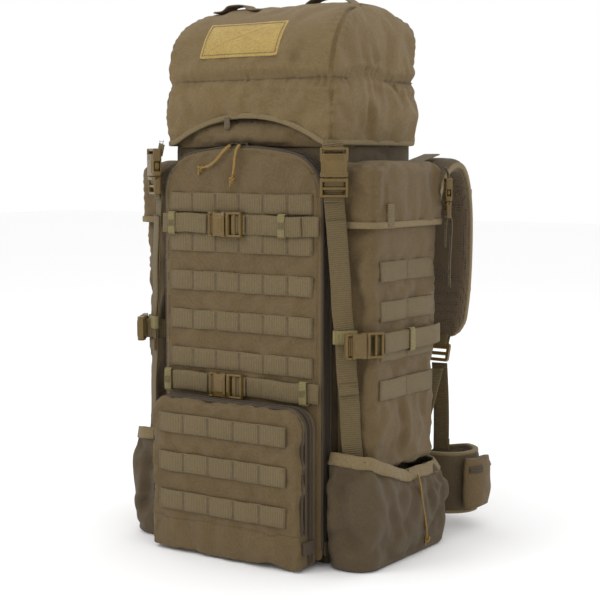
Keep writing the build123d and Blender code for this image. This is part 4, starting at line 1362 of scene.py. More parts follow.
@dataclass
class LowerPocket:
    """The deep zipped pocket at the foot of the front, with three rows of webbing."""

    half: float = 117.0
    low: float = 3.0
    top: float = 201.0
    front: float = -192.0
    split: float = -171.0
    rear: float = -151.0
    corner: float = 26.0
    fold: float = 45.0
    nx: int = 36
    ny: int = 33

    def outline(self, inset: float = 0.0) -> Array:
        """The pocket's outline, drawn in by an inset, as x and z."""
        corner = self.corner - inset * 0.8
        return ring((-self.half + inset, self.half - inset), (self.low + inset * 0.5, self.top - inset),
                    [5, 5, corner, corner], self.nx, self.ny)

    def build(self) -> None:
        """Sew the face and foot, the gusset behind the zip, the zip and the webbing."""
        rings = [to_front(self.outline(), y) for y in np.linspace(self.split, self.front + 9, 4)]
        for turn in np.linspace(0, math.pi / 2, 6)[1:]:
            rings.append(to_front(self.outline(7 * (1 - math.cos(turn))), self.front + 8 - 7
                                  * math.sin(turn)))
        shell = lofted(rings, self.nx, self.ny)

        def held(points: Array) -> Array:
            """The seams, the fold line and the sewn rows stay put."""
            sewn = inside(points, y=(self.split - 1.5, 0)) | inside(points,
                                                                    z=(self.fold - 1.2, self.fold + 1.2))
            for k in range(3):
                low = 56.0 + 50.3 * k
                sewn |= inside(points, (-100, 100), (-193, -188), (low - 1, low + 26))
            return sewn

        skin = shell.settled(held, 0.05, 1.5, out=4.5, inward=4.0).refined(1)
        rim = to_front(self.outline(1.0), self.front + 4.0)
        skin = skin.puckered([rim], ridge=0.9, wave=8.5, reach=12, groove=0.9)
        fold = self.fold
        placed("pocket_face", skin.kept(lambda m: m[:, 2] > fold), CLOTH, "pocket_flap", ["pocket_flap"],
               solid=1.6)
        placed("pocket_foot", skin.kept(lambda m: m[:, 2] < fold), CLOTH, "panel", solid=1.6)
        gusset = [to_front(self.outline(), y) for y in np.linspace(self.rear, self.split + 0.6, 6)]
        gusset = lofted(gusset, self.nx, self.ny, False).refined(1)
        gusset = gusset.puckered([to_front(self.outline(), self.rear)], 0.8, 8.0, 8.0, 0.6)
        placed("pocket_gusset", gusset, CLOTH, "panel", ["pocket_base"], solid=1.6)
        flat = self.outline()
        first, last = self.nx, 2 * self.nx + 2 * self.ny
        arch = to_front(flat[first:last], self.split)
        whole = evenly(arch[arch[:, 2] > 8], 2.0)
        flap_line = whole[whole[:, 2] > fold + 1]
        zipper("pocket_zip_front", flap_line, (self.split - 7.0, self.split - 0.6), self.split - 1.2,
               "pocket_flap", ["pocket_zip"], 0.9)
        zipper("pocket_zip_rear", whole, (self.split + 0.8, self.split + 7.0), self.split + 1.4, "panel",
               (), 0.9)
        edge = flap_line * (1, 0, 1) + (0, self.front + 9.5, 0)
        placed("pocket_piping_front", tube(edge, 1.6, 8), TAPE_CLOTH, "pocket_flap")
        placed("pocket_piping_rear", tube(whole * (1, 0, 1) + (0, self.split + 9.5, 0), 1.6, 8), TAPE_CLOTH,
               "panel")
        webbing_rows("pocket_webbing", 3, 56.0, 50.3, 100.0, self.front, "pocket_flap", "pocket_webbing")
        tab = Straps().add([(self.half + 2.4, y, 30.0) for y in np.linspace(-183, -160, 14)], (0, 0, 1), 17,
                           2.2)
        tab.place("pocket_zip_tab", TAPE_CLOTH, "panel")


# ---- the bag -------------------------------------------------------------------------------------
@dataclass
class Bag:
    """The tall main compartment with its front frame and the gathered collar at its mouth."""

    crown: Crown
    half: float = 127.0
    front: float = -128.0
    back: float = 65.0
    top: float = 524.0
    nx: int = 34
    ny: int = 26

    def build(self) -> None:
        """Sew the walls, the frame round the front opening, the foot and the collar."""
        flat = ring((-self.half, self.half), (self.front, self.back), [16] * 4, self.nx, self.ny)
        rings = [level(flat, z) for z in np.linspace(0, self.top, 62)]
        shell = lofted(rings, self.nx, self.ny, False, True)

        def held(points: Array) -> Array:
            """Edges, the pouch roots and everything under another layer stay flat."""
            edge = inside(points, z=(-1, 10)) | inside(points, z=(self.top - 6, 600))
            return edge | inside(points, y=(self.back - 18, 99)) | inside(points,
                                                                          y=(-130, self.front + 5)) \
                | inside(points, y=(-116, 36), z=(110, 500))

        skin = shell.settled(held, 0.04, 1.0, out=3.0, inward=5.0)
        skin = skin.kept(lambda m: (m[:, 1] > self.front + 1.5) | (m[:, 2] < 2)).refined(1)
        # Walls, front frame and corners in the darker cloth: painted shade.
        placed("bag_walls", skin, CLOTH_PAINTED_SHADE, "bag", ["main_compartment"], solid=1.8)
        outer = ring((-self.half + 7, self.half - 7), (0.5, self.top), [4] * 4, self.crown.nx,
                     self.crown.ny)
        frame_rings = [to_front(outer, self.front + 1.2), to_front(self.crown.ring(1.0), self.front + 0.6),
                       to_front(self.crown.ring(9.0), self.front + 0.8)]
        placed("bag_front_frame", lofted(frame_rings, self.crown.nx, self.crown.ny, False), CLOTH_PAINTED_SHADE,
               "bag",
               solid=1.5)
        corner = lofted([level(flat, z) for z in np.linspace(0, self.top, 80)], self.nx, self.ny, False)
        corner = corner.kept(lambda m: (m[:, 1] < self.front + 7) & (np.abs(m[:, 0]) > self.half - 17))
        placed("bag_front_corners", corner, CLOTH_PAINTED_SHADE, "bag", solid=1.4)
        self.collar(flat)

    def collar(self, flat: Array) -> None:
        """The collar, drawn in towards its mouth so that it gathers."""
        middle = np.array([0.0, (self.front + self.back) / 2])
        rings = []
        for share in np.linspace(0, 1, 12):
            draw = 11.0 * share
            shrink = 1 - draw / np.maximum(np.abs(flat - middle).max(1, keepdims=True), 1)
            now = middle + (flat - middle) * shrink
            puff = 17.0 * math.sin(math.pi * min(1.0, share * 1.15 + 0.05)) ** 0.8
            front = (flat[:, 1] < self.front + 4) * np.clip(1.25 - np.abs(flat[:, 0]) / 100, 0, 1)
            now[:, 1] -= puff * front
            rings.append(level(now, self.top - 3 + 44 * share))
        skin = lofted(rings, self.nx, self.ny, False)
        skin = skin.settled(lambda p: inside(p, z=(0, self.top + 4)), 0.10, 1.0, 4.0, 4.0, 12).refined(1)
        mouth = np.vstack([rings[-1], rings[-1][:1]])
        skin = skin.puckered([mouth], ridge=2.2, wave=12.0, reach=30.0, groove=0.5)
        placed("collar_cloth", skin, CLOTH, "bag", ["storm_collar"], solid=1.2)
        tie = [(-26.0, self.front - 14.0, z) for z in np.linspace(self.top + 20, self.top + 34, 8)]
        Straps().add(tie, (1, 0, 0), 9.0, 1.6).place("collar_tab", DARK_WEB, "bag")


@dataclass
class Sided:
    """A sub-assembly that the pack has once on each side."""

    side: int

    @property
    def word(self) -> str:
        """Which side this is."""
        return "right" if self.side > 0 else "left"

    @property
    def flip(self) -> Array:
        """The factors that carry a point of the right side to this side."""
        return np.array([self.side, 1, 1])

    def turned(self, skin: Skin) -> Skin:
        """The skin on this side."""
        return skin if self.side > 0 else skin.mirrored()

    def padding(self, stem: str, node_name: str, frame: tuple[Array, Array, Array], wide: Array,
                deep: Array, edges: tuple[str, str], ends: tuple[str, str], fill: float,
                creases: tuple[float, float]) -> None:
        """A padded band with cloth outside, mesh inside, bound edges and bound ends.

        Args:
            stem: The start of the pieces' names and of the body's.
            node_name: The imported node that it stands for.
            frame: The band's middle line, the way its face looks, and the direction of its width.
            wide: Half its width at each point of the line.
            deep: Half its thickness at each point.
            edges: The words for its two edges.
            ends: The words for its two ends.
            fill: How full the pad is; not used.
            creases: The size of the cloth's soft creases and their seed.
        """
        line, face, across = frame
        body, count = stem + "_" + self.word, 36
        turns = np.arange(count) * 2 * math.pi / count
        c, s = np.cos(turns), np.sin(turns)
        u, v = np.sign(c) * np.abs(c) ** 0.45, np.sign(s) * np.abs(s) ** 0.8
        rings = [point + (u * w)[:, None] * across + (v * d)[:, None] * out
                 for point, out, w, d in zip(line, face, wide, deep)]
        points = np.vstack(rings)
        quads = [(k * count + i, k * count + (i + 1) % count, (k + 1) * count + (i + 1) % count,
                  (k + 1) * count + i) for k in range(len(line) - 1) for i in range(count)]
        outer = np.arange(len(points)) % count < count / 2 + 1
        # Outer cloth and inner mesh are both darker copies: painted shade on the harness and belt.
        for word, finish in (("outer", CLOTH_PAINTED_SHADE), ("inner", MESH)):
            wanted = [q for q in quads if all(outer[i] for i in q) == (word == "outer")]
            part = Skin(points, wanted).kept(lambda m: np.ones(len(m), bool))
            part = part.rumpled(free, 1.2, *creases).refined(1)
            piece = placed(stem + "_" + word + "_" + self.word, self.turned(part), finish, body,
                           [node_name + "_" + self.word], solid=1.5)
        for edge, word in ((0, edges[0]), (count // 2, edges[1])):
            piping, flat = strip(np.array([r[edge] for r in rings]), face, 8.0, 5.0)
            placed(stem + "_binding_" + word + "_" + self.word, self.turned(piping), BINDING, body, (),
                   flat)
        for ring_points, word in zip((rings[0], rings[-1]), ends):
            cap = tube(evenly(np.array([ring_points[0], ring_points[count // 2]]), 3), deep.max() * 0.42, 8)
            placed(stem + "_cap_" + word + "_" + self.word, self.turned(cap), BINDING, body)


@dataclass
class SidePouch(Sided):
    """A tall side pouch with its hooded flap, webbing rows and compression strap."""

    inner: float = 127.0
    out: float = 180.0
    front: float = -122.0
    back: float = 38.0
    foot: float = 118.0
    top: float = 486.0
    strap_z: float = 281.0
    rows_count: int = 4
    row_low: float = 209.0
    row_pitch: float = 49.0
    webbing: float = 25.0
    flap_box: tuple[float, float, float] = (187.0, -129.0, 46.0)     # out, front and back
    flap_levels: tuple[float, float] = (423.0, 500.0)                # hem and top
    flap_buckle_at: Point = (190.5, 45.0, 452.0)
    flap_buckle_turn: float = 124.5
    strap_buckle_turn: float = 57.0

    def build(self) -> None:
        """Sew the pouch and its flap, then lay the straps on."""
        nx, ny = 9, 26
        flat = ring((self.inner, self.out), (self.front, self.back), [2, 14, 14, 2], nx, ny)
        middle = np.array([(self.inner + self.out) / 2, (self.front + self.back) / 2])
        rings = []
        for turn in np.linspace(-math.pi / 2, 0, 5):
            draw = 12 * (1 - math.cos(turn))
            inner = np.sign(flat - middle) * draw
            rings.append(level(flat - inner * (flat > self.inner + 1), self.foot + 12 + 12
                               * math.sin(turn)))
        rings += [level(flat, z) for z in np.linspace(self.foot + 18, self.top, 52)]
        shell = lofted(rings, nx, ny, False, True)

        def held(points: Array) -> Array:
            """The root, the rear and front seams, the sewn rows and the strap's track."""
            sewn = inside(points, (self.inner - 1, self.inner + 2)) | inside(points, z=(self.top - 5, 999))
            for k in range(self.rows_count):
                low = self.row_low + self.row_pitch * k
                sewn |= inside(points, (self.out - 2, self.out + 2), (self.front + 15, self.back - 15),
                               (low, low + self.webbing))
            return sewn | inside(points, (self.out - 3, 999), z=(self.foot + 1, self.foot + 9))

        seed = 5.0 if self.side > 0 else 11.0
        skin = shell.settled(held, 0.055, 1.4, out=4.5, inward=8.0, bending=0.3)
        skin = skin.rumpled(held, 3.0, 30.0, seed).refined(1)
        seams = [np.array([(self.out - 3, y, z) for z in np.linspace(self.foot + 4, self.top - 4, 90)])
                 for y in (self.front + 3, self.back - 3)]
        skin = skin.puckered(seams, ridge=1.0, wave=10, reach=14, groove=1.2)
        folds = [[(181, -60, 205), (181, -48, 170), (178, -52, 132)], [(181, 0, 206), (181, 8, 160)],
                 [(181, -96, 204), (176, -118, 160)],
                 [(150, -123, 380), (165, -123, 300), (158, -123, 210)],
                 [(181, -30, 330), (181, -38, 308)], [(150, 39, 400), (164, 39, 300), (152, 39, 200)]]
        skin = creased(skin, folds, 3.4, 7.5)
        placed("side_pouch_cloth_" + self.word, self.turned(skin), CLOTH, "bag",
               ["side_pouch_" + self.word],
               solid=1.6)
        self.flap()
        self.rows()
        self.compression()

    def flap(self) -> None:
        """The flap: two gussets and a top, with a bound hem and a corner seam."""
        inner, (out, front, back), (hem, top) = self.inner + 0.8, self.flap_box, self.flap_levels
        nx, ny, corner = 10, 28, 18.0
        rings = []
        for share in np.linspace(0, 1, 10):
            flat = ring((inner, out), (front, back), [2, corner, corner, 2], nx, ny)
            rings.append(level(flat, hem + (top - 12 - hem) * share))
        for turn in np.linspace(0, math.pi / 2, 6)[1:]:
            draw = 12 * (1 - math.cos(turn))
            flat = ring((inner, out - draw), (front + draw, back - draw), [2, corner, corner, 2], nx, ny)
            rings.append(level(flat, top - 12 + 12 * math.sin(turn)))
        shell = lofted(rings, nx, ny)
        count = 2 * (nx + ny)
        seams = [np.array([(out - 5, y, z) for z in np.linspace(hem, top - 10, 24)]
                          + [(x, y + s * 5, top - 4) for x in np.linspace(out - 9, inner + 8, 16)])
                 for y, s in ((front + 5, 1), (back - 5, -1))]
        lines = np.vstack([evenly(s, 3) for s in seams])
        tree = searchable(lines)

        def held(points: Array) -> Array:
            """The hem, the root and the corner seams stay where they are sewn."""
            near = np.array([tree.find(p)[2] for p in points]) < 4.5
            return near | (np.arange(len(points)) < count) | inside(points, (inner - 1, inner + 3))

        skin = shell.settled(held, 0.05, 1.5, out=6.5, inward=6.0).refined(2)
        skin = skin.puckered(seams, ridge=1.3, wave=9.5, reach=14, groove=1.5)
        body = "side_flap_" + self.word
        placed("side_flap_cloth_" + self.word, self.turned(skin), CLOTH, body, [body], solid=1.8)
        rim = shell.points[:count]
        rim = rim[rim[:, 0] > inner + 1]
        start = int(np.argmax(np.linalg.norm(np.diff(rim, axis=0), axis=1))) + 1 \
            if np.linalg.norm(np.diff(rim, axis=0), axis=1).max() > 20 else 0
        rim = np.roll(rim, -start, 0)
        hem_line = smooth_line(rim, 2.5, 1) + (0, 0, 3.0)
        skin, flat = strip(hem_line, (0, 0, 1), 8.0, 4.2)
        placed("side_flap_binding_" + self.word, self.turned(skin), BINDING, body, (), flat)
        self.flap_buckle(body)

    def flap_buckle(self, body: str) -> None:
        """The slim buckle on the flap's rear corner, its strap, loop and hanging tail."""
        small = Buckle(15, 9, 20, 30, 15, 22)
        at, turn = self.flap_buckle_at, self.flap_buckle_turn
        halves = merged([Buckle.put(small.socket(), at, turn), Buckle.put(small.plug(), at, turn)])
        placed("flap_buckle_piece_" + self.word, self.turned(halves), BUCKLE, body,
               ["flap_buckle_" + self.word])
        a = math.radians(turn)
        across, out = np.array([math.cos(a), math.sin(a), 0]), np.array([math.sin(a), -math.cos(a), 0])
        base = np.array(at)
        sewn = [base + out * 0.5 + (0, 0, 28), base + out * 0.2 + (0, 0, 36), base - out * 3.5 + (0, 0, 43)]
        tail = [base + out * 1.8 + (0, 0, -18), base + out * 5.0 + (0, 0, -24), base + out * 4.6
                + (0, 0, -44),
                base + out * 2.6 + (0, 0, -80), base + out * 3.0 + (0, 0, -112)]
        under = [base + out * -1.0 + (0, 0, -18), base + out * -2.6 + (0, 0, -30), base - out * 3.4
                 + (0, 0, -60)]
        straps = Straps()
        for path in (sewn, tail, under):
            straps.add(smooth_line(path, 2.0, 2), across, 22.0, 1.7)
        made = self.turned(merged(straps.skins))
        placed("flap_strap_" + self.word, made, WEB, body, (), np.vstack(straps.flats))
        tab, flat = strip(np.array([(188.6, -96.0, z) for z in np.linspace(424, 452, 12)]), (0, 1, 0), 15,
                          2.0)
        placed("flap_tab_" + self.word, self.turned(tab), WEB, body, (), flat)

    def rows(self) -> None:
        """Four webbing rows on the pouch's outer face."""
        rows, tacks = Straps(), []
        ys = np.linspace(self.front + 15, self.back - 15, 70)
        for k in range(self.rows_count):
            z = self.row_low + self.row_pitch * k + self.webbing / 2
            bow = np.abs(np.sin(np.pi * (ys - ys[0]) / (ys[-1] - ys[0]) * 2)) ** 0.7
            wave = np.array([noise.noise((y / 22, k * 2.3, 5.4)) for y in ys])
            rows.add(np.column_stack([self.out + 1.0 + 1.3 * bow, ys, z + 0.9 * wave]), (0, 0, 1), 25.0,
                     1.8)
            for y in (ys[0] + 2.5, ys[34], ys[-1] - 2.5):
                column = np.array([(self.out + 2.1, y, z - 10.5), (self.out + 2.1, y, z + 10.5)])
                tacks.append(beads(column, (1, 0, 0), 1.5, 3.4, 0.9, crosswise=True))
        nodes = ["side_webbing"]
        placed("side_rows_" + self.word, self.turned(merged(rows.skins)), WEB, "bag", nodes,
               np.vstack(rows.flats))
        placed("side_tacks_" + self.word, self.turned(merged(tacks)), THREAD, "bag")

    def compression(self) -> None:
        """The strap round the pouch with its doubled end, and the buckle at the front corner."""
        z, straps = self.strap_z, Straps()
        path = [(182.5, -121, z), (186.0, -108, z), (186.6, -60, z + 1), (186.4, -10, z - 1),
                (186.4, 26, z),
                (183.0, 42, z), (172.0, 46.5, z), (150.0, 46.8, z), (128.5, 46.0, z)]
        line = smooth_line(path, 2.5, 3)
        straps.add(line, (0, 0, 1), 25.0, 1.8)
        straps.add(line[6:58] + (2.0, 0, 0), (0, 0, 1), 24.4, 1.7)
        front = [(172.0, -137.5, z), (165.0, -143.0, z), (152.0, -141.0, z), (140.0, -131.0, z),
                 (128.5, -120.0, z)]
        straps.add(smooth_line(front, 2.0, 3), (0, 0, 1), 25.0, 1.8)
        placed("side_strap_" + self.word, self.turned(merged(straps.skins)), WEB, "bag", ["side_straps"],
               np.vstack(straps.flats))
        around = ring((z - 14.2, z + 14.2), (184.6, 191.2), [1.6] * 4, 8, 3)
        loop = np.column_stack([around[:, 1], np.full(len(around), -44.0), around[:, 0]])
        keeper, flat = strip(evenly(np.vstack([loop, loop[:1]]), 1.6), (0, 1, 0), 12.0, 1.3)
        placed("side_keeper_" + self.word, self.turned(keeper), ELASTIC, "bag", (), flat)
        small = Buckle(16, 10, 20, 27, 16, 24)
        at, turn = (176.5, -133.0, z), self.strap_buckle_turn
        placed("side_socket_" + self.word, self.turned(Buckle.put(small.socket(), at, turn, -90)), BUCKLE,
               "bag",
               ["side_sockets"])
        placed("side_plug_piece_" + self.word, self.turned(Buckle.put(small.plug(), at, turn, -90)), BUCKLE,
               "side_plug_" + self.word, ["side_plug_" + self.word])


@dataclass
class StowPocket(Sided):
    """The open pocket at the foot of a side: loose cloth gathered under a bound mouth."""

    inner: float = 127.0
    out: float = 191.0
    front: float = -150.0
    back: float = 62.0
    top_front: float = 148.0
    top_back: float = 112.0

    def mouth(self, flat: Array) -> Array:
        """Height of the mouth round the plan."""
        share = np.clip((flat[:, 1] - self.front) / 95.0, 0, 1)
        return self.top_front + (self.top_back - self.top_front) * share

    def hugging(self, skin: Skin, line: Array) -> Array:
        """Lay a line on the pocket's cloth.

        Args:
            skin: The pocket's cloth.
            line: The line's points near it.

        Returns:
            The points on the cloth, a little proud of it.
        """
        tree = bvhtree.BVHTree.FromPolygons([tuple(p) for p in skin.points], [tuple(f) for f in skin.faces])
        laid = []
        for point in line:
            spot, normal = tree.find_nearest(tuple(point))[:2]
            away = np.array([point[0] - 160.0, point[1] + 44.0, 0.0])
            proud = np.array(normal) * (1 if np.dot(np.array(normal), away) > 0 else -1)
            laid.append(np.array(spot) + proud * 1.5)
        laid = np.array(laid)
        laid[1:-1] = (laid[:-2] + 2 * laid[1:-1] + laid[2:]) / 4
        return laid

    def build(self) -> None:
        """Sew the pocket and bind its mouth."""
        nx, ny = 11, 34
        flat = ring((self.inner, self.out), (self.front, self.back), [19, 30, 30, 2], nx, ny)
        top = self.mouth(flat)
        rings = [level(flat - np.sign(flat - (160, -44)) * (5 * (1 - s), 5 * (1 - s)), s * 5)
                 for s in (0.0, 0.5, 1.0)]
        for share in np.linspace(0, 1, 24)[1:]:
            belly = 3.0 * math.sin(math.pi * share)
            drawn = 9.0 * max(0.0, share - 0.72) / 0.28 * np.clip((flat[:, 1:] + 90) / 50, 0.2, 1)
            move = np.sign(flat - (160, -44)) * (flat[:, :1] > self.inner + 3)
            rings.append(level(flat + move * (belly - 1 - drawn), 5 + (top - 5) * share))
        shell = lofted(rings, nx, ny, False, True)
        count = 2 * (nx + ny)
        last = len(rings) * count

        def held(points: Array) -> Array:
            """The foot, the root and the mouth's front stretch stay where they are sewn."""
            names = np.arange(len(points))
            rim = (names >= last - count) & (names < last)
            return rim | inside(points, z=(-1, 6)) | inside(points, (self.inner - 1, self.inner + 3))

        skin = shell.settled(held, 0.085, 1.2, out=4.0, inward=9.0, bending=0.25)
        seed = 3.0 if self.side > 0 else 8.0
        skin = skin.rumpled(held, 4.0, 26.0, seed).refined(1)
        rim = shell.points[last - count:last]
        line = np.vstack([rim, rim[:1]])
        rear = line[line[:, 1] > -60]
        skin = skin.puckered([rear], ridge=2.4, wave=13.0, reach=22, groove=1.0)
        skin = skin.puckered([line[(line[:, 1] < -60)]], ridge=0.9, wave=9.0, reach=12, groove=0.6)
        folds = [[(152, -151, 118), (150, -151, 70), (176, -147, 22)], [(188, -128, 122), (192, -96, 60),
                 (192, -80, 18)], [(192, -42, 92), (192, -54, 50)], [(192, -8, 92), (192, 4, 40)],
                 [(192, 30, 96), (190, 42, 50)]]
        skin = creased(skin, folds, 5.0, 8.5)
        # The stow pocket in the darker cloth: painted shade.
        placed("stow_cloth_" + self.word, self.turned(skin), CLOTH_PAINTED_SHADE, "bag",
               ["stow_pocket_" + self.word],
               solid=1.6)
        band = smooth_line(line[(line[:, 0] > self.inner + 4)], 2.0, 1)
        upper, lower = (self.hugging(skin, band - (0, 0, drop)) for drop in (0.5, 15.5))
        hem, flat_hem = strip((upper + lower) / 2, upper - lower, 16.0, 3.2)
        placed("stow_band_" + self.word, self.turned(hem), BINDING, "bag", (), flat_hem)


@dataclass
class LidStraps:
    """The two long straps that pull the lid down, with their buckles, keepers and tails."""

    top: Point = (137.2, -144.1, 466.0)
    end: Point = (163.0, -133.5, 100.0)
    at: Point = (141.0, -149.5, 484.0)
    turn: float = 35.0

    def build(self) -> None:
        """Lay both straps and close both buckles."""
        a = math.radians(self.turn)
        across, out = np.array([math.cos(a), math.sin(a), 0]), np.array([math.sin(a), -math.cos(a), 0])
        top, end = np.array(self.top), np.array(self.end)
        straps, hoops, thread = Straps(), Straps(), []
        shares = np.linspace(0, 1, 130)
        run = np.array([top + (end - top) * s for s in shares])
        sway = np.array([noise.noise((s * 9, 0.7, 2.0)) for s in shares]) * np.sin(np.pi * shares)
        run = run + out * (sway * 1.2)[:, None] + across * (sway * 1.5)[:, None]
        for side, reach in ((1, 88), (-1, 76)):
            flip = np.array([side, 1, 1])
            tail = run[12:reach] + out * 2.3 + out * (np.sin(shares[12:reach] * 31) * 0.35)[:, None]
            straps.add(run * flip, across * flip)
            straps.add(tail * flip, across * flip, 24.6)
            straps.add((run[reach - 6:reach] + out * 4.0) * flip, across * flip, 24.6, 1.6)
            thread.append(beads((run[[reach - 5, reach - 5]] + out * 5.0 + np.outer((-11, 11), across))
                                * flip,
                                out * flip, 2.8, 2.2, 0.7))
            name = "right" if side > 0 else "left"
            loop = [run[0] + out * 2.6 + (0, 0, -12), run[0] + out * 3.2 + (0, 0, -4),
                    self.at + out * 0.6 + (0, 0, -10), self.at + out * 2.2 + (0, 0, -5)]
            Straps().add(smooth_line(np.array(loop), 1.5, 1) * flip, across * flip, 24.4, 1.6).place(
                "lid_plug_loop_" + name, STRAP_WEB_PAINTED_SHADE, "lid_plug_" + name)
            middle = run[62] + out * 1.2
            flat = ring((-14.4, 14.4), (-2.6, 4.2), [1.6] * 4, 8, 3)
            loop = middle + flat[:, :1] * across + flat[:, 1:] * out
            hoops.add(evenly(np.vstack([loop, loop[:1]]), 1.6) * flip, (0, 0, 1), 17.0, 1.4)
            large = Buckle()
            socket, plug = (Buckle.put(half, self.at, self.turn) for half in (large.socket(), large.plug()))
            socket, plug = (socket, plug) if side > 0 else (socket.mirrored(), plug.mirrored())
            placed("lid_socket_" + name, socket, BUCKLE, "lid", ["lid_sockets"])
            placed("lid_plug_piece_" + name, plug, BUCKLE, "lid_plug_" + name, ["lid_plug_" + name])
        # The lid straps in the darker webbing: painted shade.
        straps.place("lid_strap_webbing", STRAP_WEB_PAINTED_SHADE, "bag", ["lid_straps"])
        hoops.place("lid_strap_keepers", ELASTIC, "bag")
        placed("lid_strap_thread", merged(thread), THREAD, "bag")


# ---- the back and the harness ----------------------------------------------------------------------
@dataclass
class BackPanel:
    """The cloth against the wearer's back, its three mesh pads and the carrying handle."""

    face: float = 76.0

    def pad(self, name: str, x: tuple[float, float], z: tuple[float, float], corner: float,
            high: float) -> None:
        """One pad: a crowned cushion of spacer mesh with a sewn flange.

        Args:
            name: The piece's name.
            x: Its extent across.
            z: Its extent up.
            corner: The radius of its corners.
            high: How far it stands off the panel.
        """
        nx, ny = max(8, round((x[1] - x[0]) / 6)), max(10, round((z[1] - z[0]) / 6))
        rings = []
        for turn in np.linspace(0, math.pi / 2, 6):
            draw = 9 * (1 - math.cos(turn))
            flat = ring((x[0] + draw, x[1] - draw), (z[0] + draw, z[1] - draw), [corner - draw * 0.6] * 4,
                        nx, ny)
            rings.append(np.column_stack([-flat[:, 0], np.full(len(flat), self.face + 1 + (high - 6)
                                                                * math.sin(turn)), flat[:, 1]]))
        rings = [r * (-1, 1, 1) for r in rings]
        shell = lofted(rings, nx, ny)
        shell = Skin(shell.points, [f[::-1] for f in shell.faces])
        count = 2 * (nx + ny)
        puffed = shell.settled(lambda p: np.arange(len(p)) < count, 0.02, 3.0, out=4.5, inward=1.0)
        groove = [np.array([(xx, self.face + high - 4, zz) for zz in np.linspace(z[0] + 14, z[1] - 14, 40)])
                  for xx in np.linspace(x[0], x[1], max(2, round((x[1] - x[0]) / 40)) + 1)[1:-1]]
        puffed = puffed.refined(1)
        if groove:
            puffed = puffed.puckered(groove, 0.3, 9.0, 5.0, 3.2)
        # The pads in the darkened mesh: painted shade.
        piece = placed(name, puffed, MESH, "bag", ["back_pads"], solid=1.5)
        edge = np.vstack([rings[0], rings[0][:1]])
        placed(name + "_flange", tube(edge[:-1], 1.9, 8, True), BACKING, "bag")

    def build(self) -> None:
        """Sew the panel, its pads and the handle."""
        nx, ny = 30, 56
        rings = []
        for turn in np.linspace(0, math.pi / 2, 5):
            draw = 4 * (1 - math.cos(turn))
            flat = ring((-116 + draw, 116 - draw), (22 + draw, 482 - draw), [18] * 4, nx, ny)
            rings.append(np.column_stack([flat[:, 0], np.full(len(flat), 71.0 + 4.4 * math.sin(turn)),
                                          flat[:, 1]]))
        shell = lofted(rings, nx, ny)
        shell = Skin(shell.points, [f[::-1] for f in shell.faces])
        count = 2 * (nx + ny)
        skin = shell.settled(lambda p: np.arange(len(p)) < count, 0.015, 0.6, out=1.2,
                             inward=1.5).refined(1)
        placed("back_panel_cloth", skin, BACKING, "bag", ["back_skin"], solid=1.5)
        edge = np.vstack([rings[0], rings[0][:1]])
        placed("back_panel_binding", tube(edge[:-1], 2.6, 8, True), BINDING, "bag")
        self.pad("back_pad_right", (22, 74), (150, 405), 16, 15)
        self.pad("back_pad_left", (-74, -22), (150, 405), 16, 15)
        self.pad("lumbar_pad", (-80, 80), (30, 134), 22, 15)
        for name, finish in (("frame_sheet", SHEET), ("frame_stays", ALLOY)):
            dress(name, finish)
        legs = Straps()
        for side in (-1, 1):
            path = [(side * 42, 78.5, 476.6), (side * 42, 86.0, 477.0), (side * 42, 88.0, 470.0),
                    (side * 42.5, 87.6, 452.0), (side * 41, 87.5, 436.0)]
            legs.add(smooth_line(path, 1.5, 2), (1, 0, 0), 11.5, 2.4)
        legs.place("handle_legs", DARK_WEB, "haul_handle", ["haul_handle"])
        grip = [(x, 87.5, 440.5 - 4 * math.cos(x / 48 * 1.4)) for x in np.linspace(-47, 47, 50)]
        grip_skin, flat = strip(np.array(grip), (0, 0, 1), 25.0, 4.6)
        placed("handle_grip", grip_skin, DARK_WEB, "haul_handle", (), flat)


def dress(name: str, finish: Finish) -> None:
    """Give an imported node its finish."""
    shown = frame["nodes"][name]
    shown.data.materials.clear()
    shown.data.materials.append(finish.material())


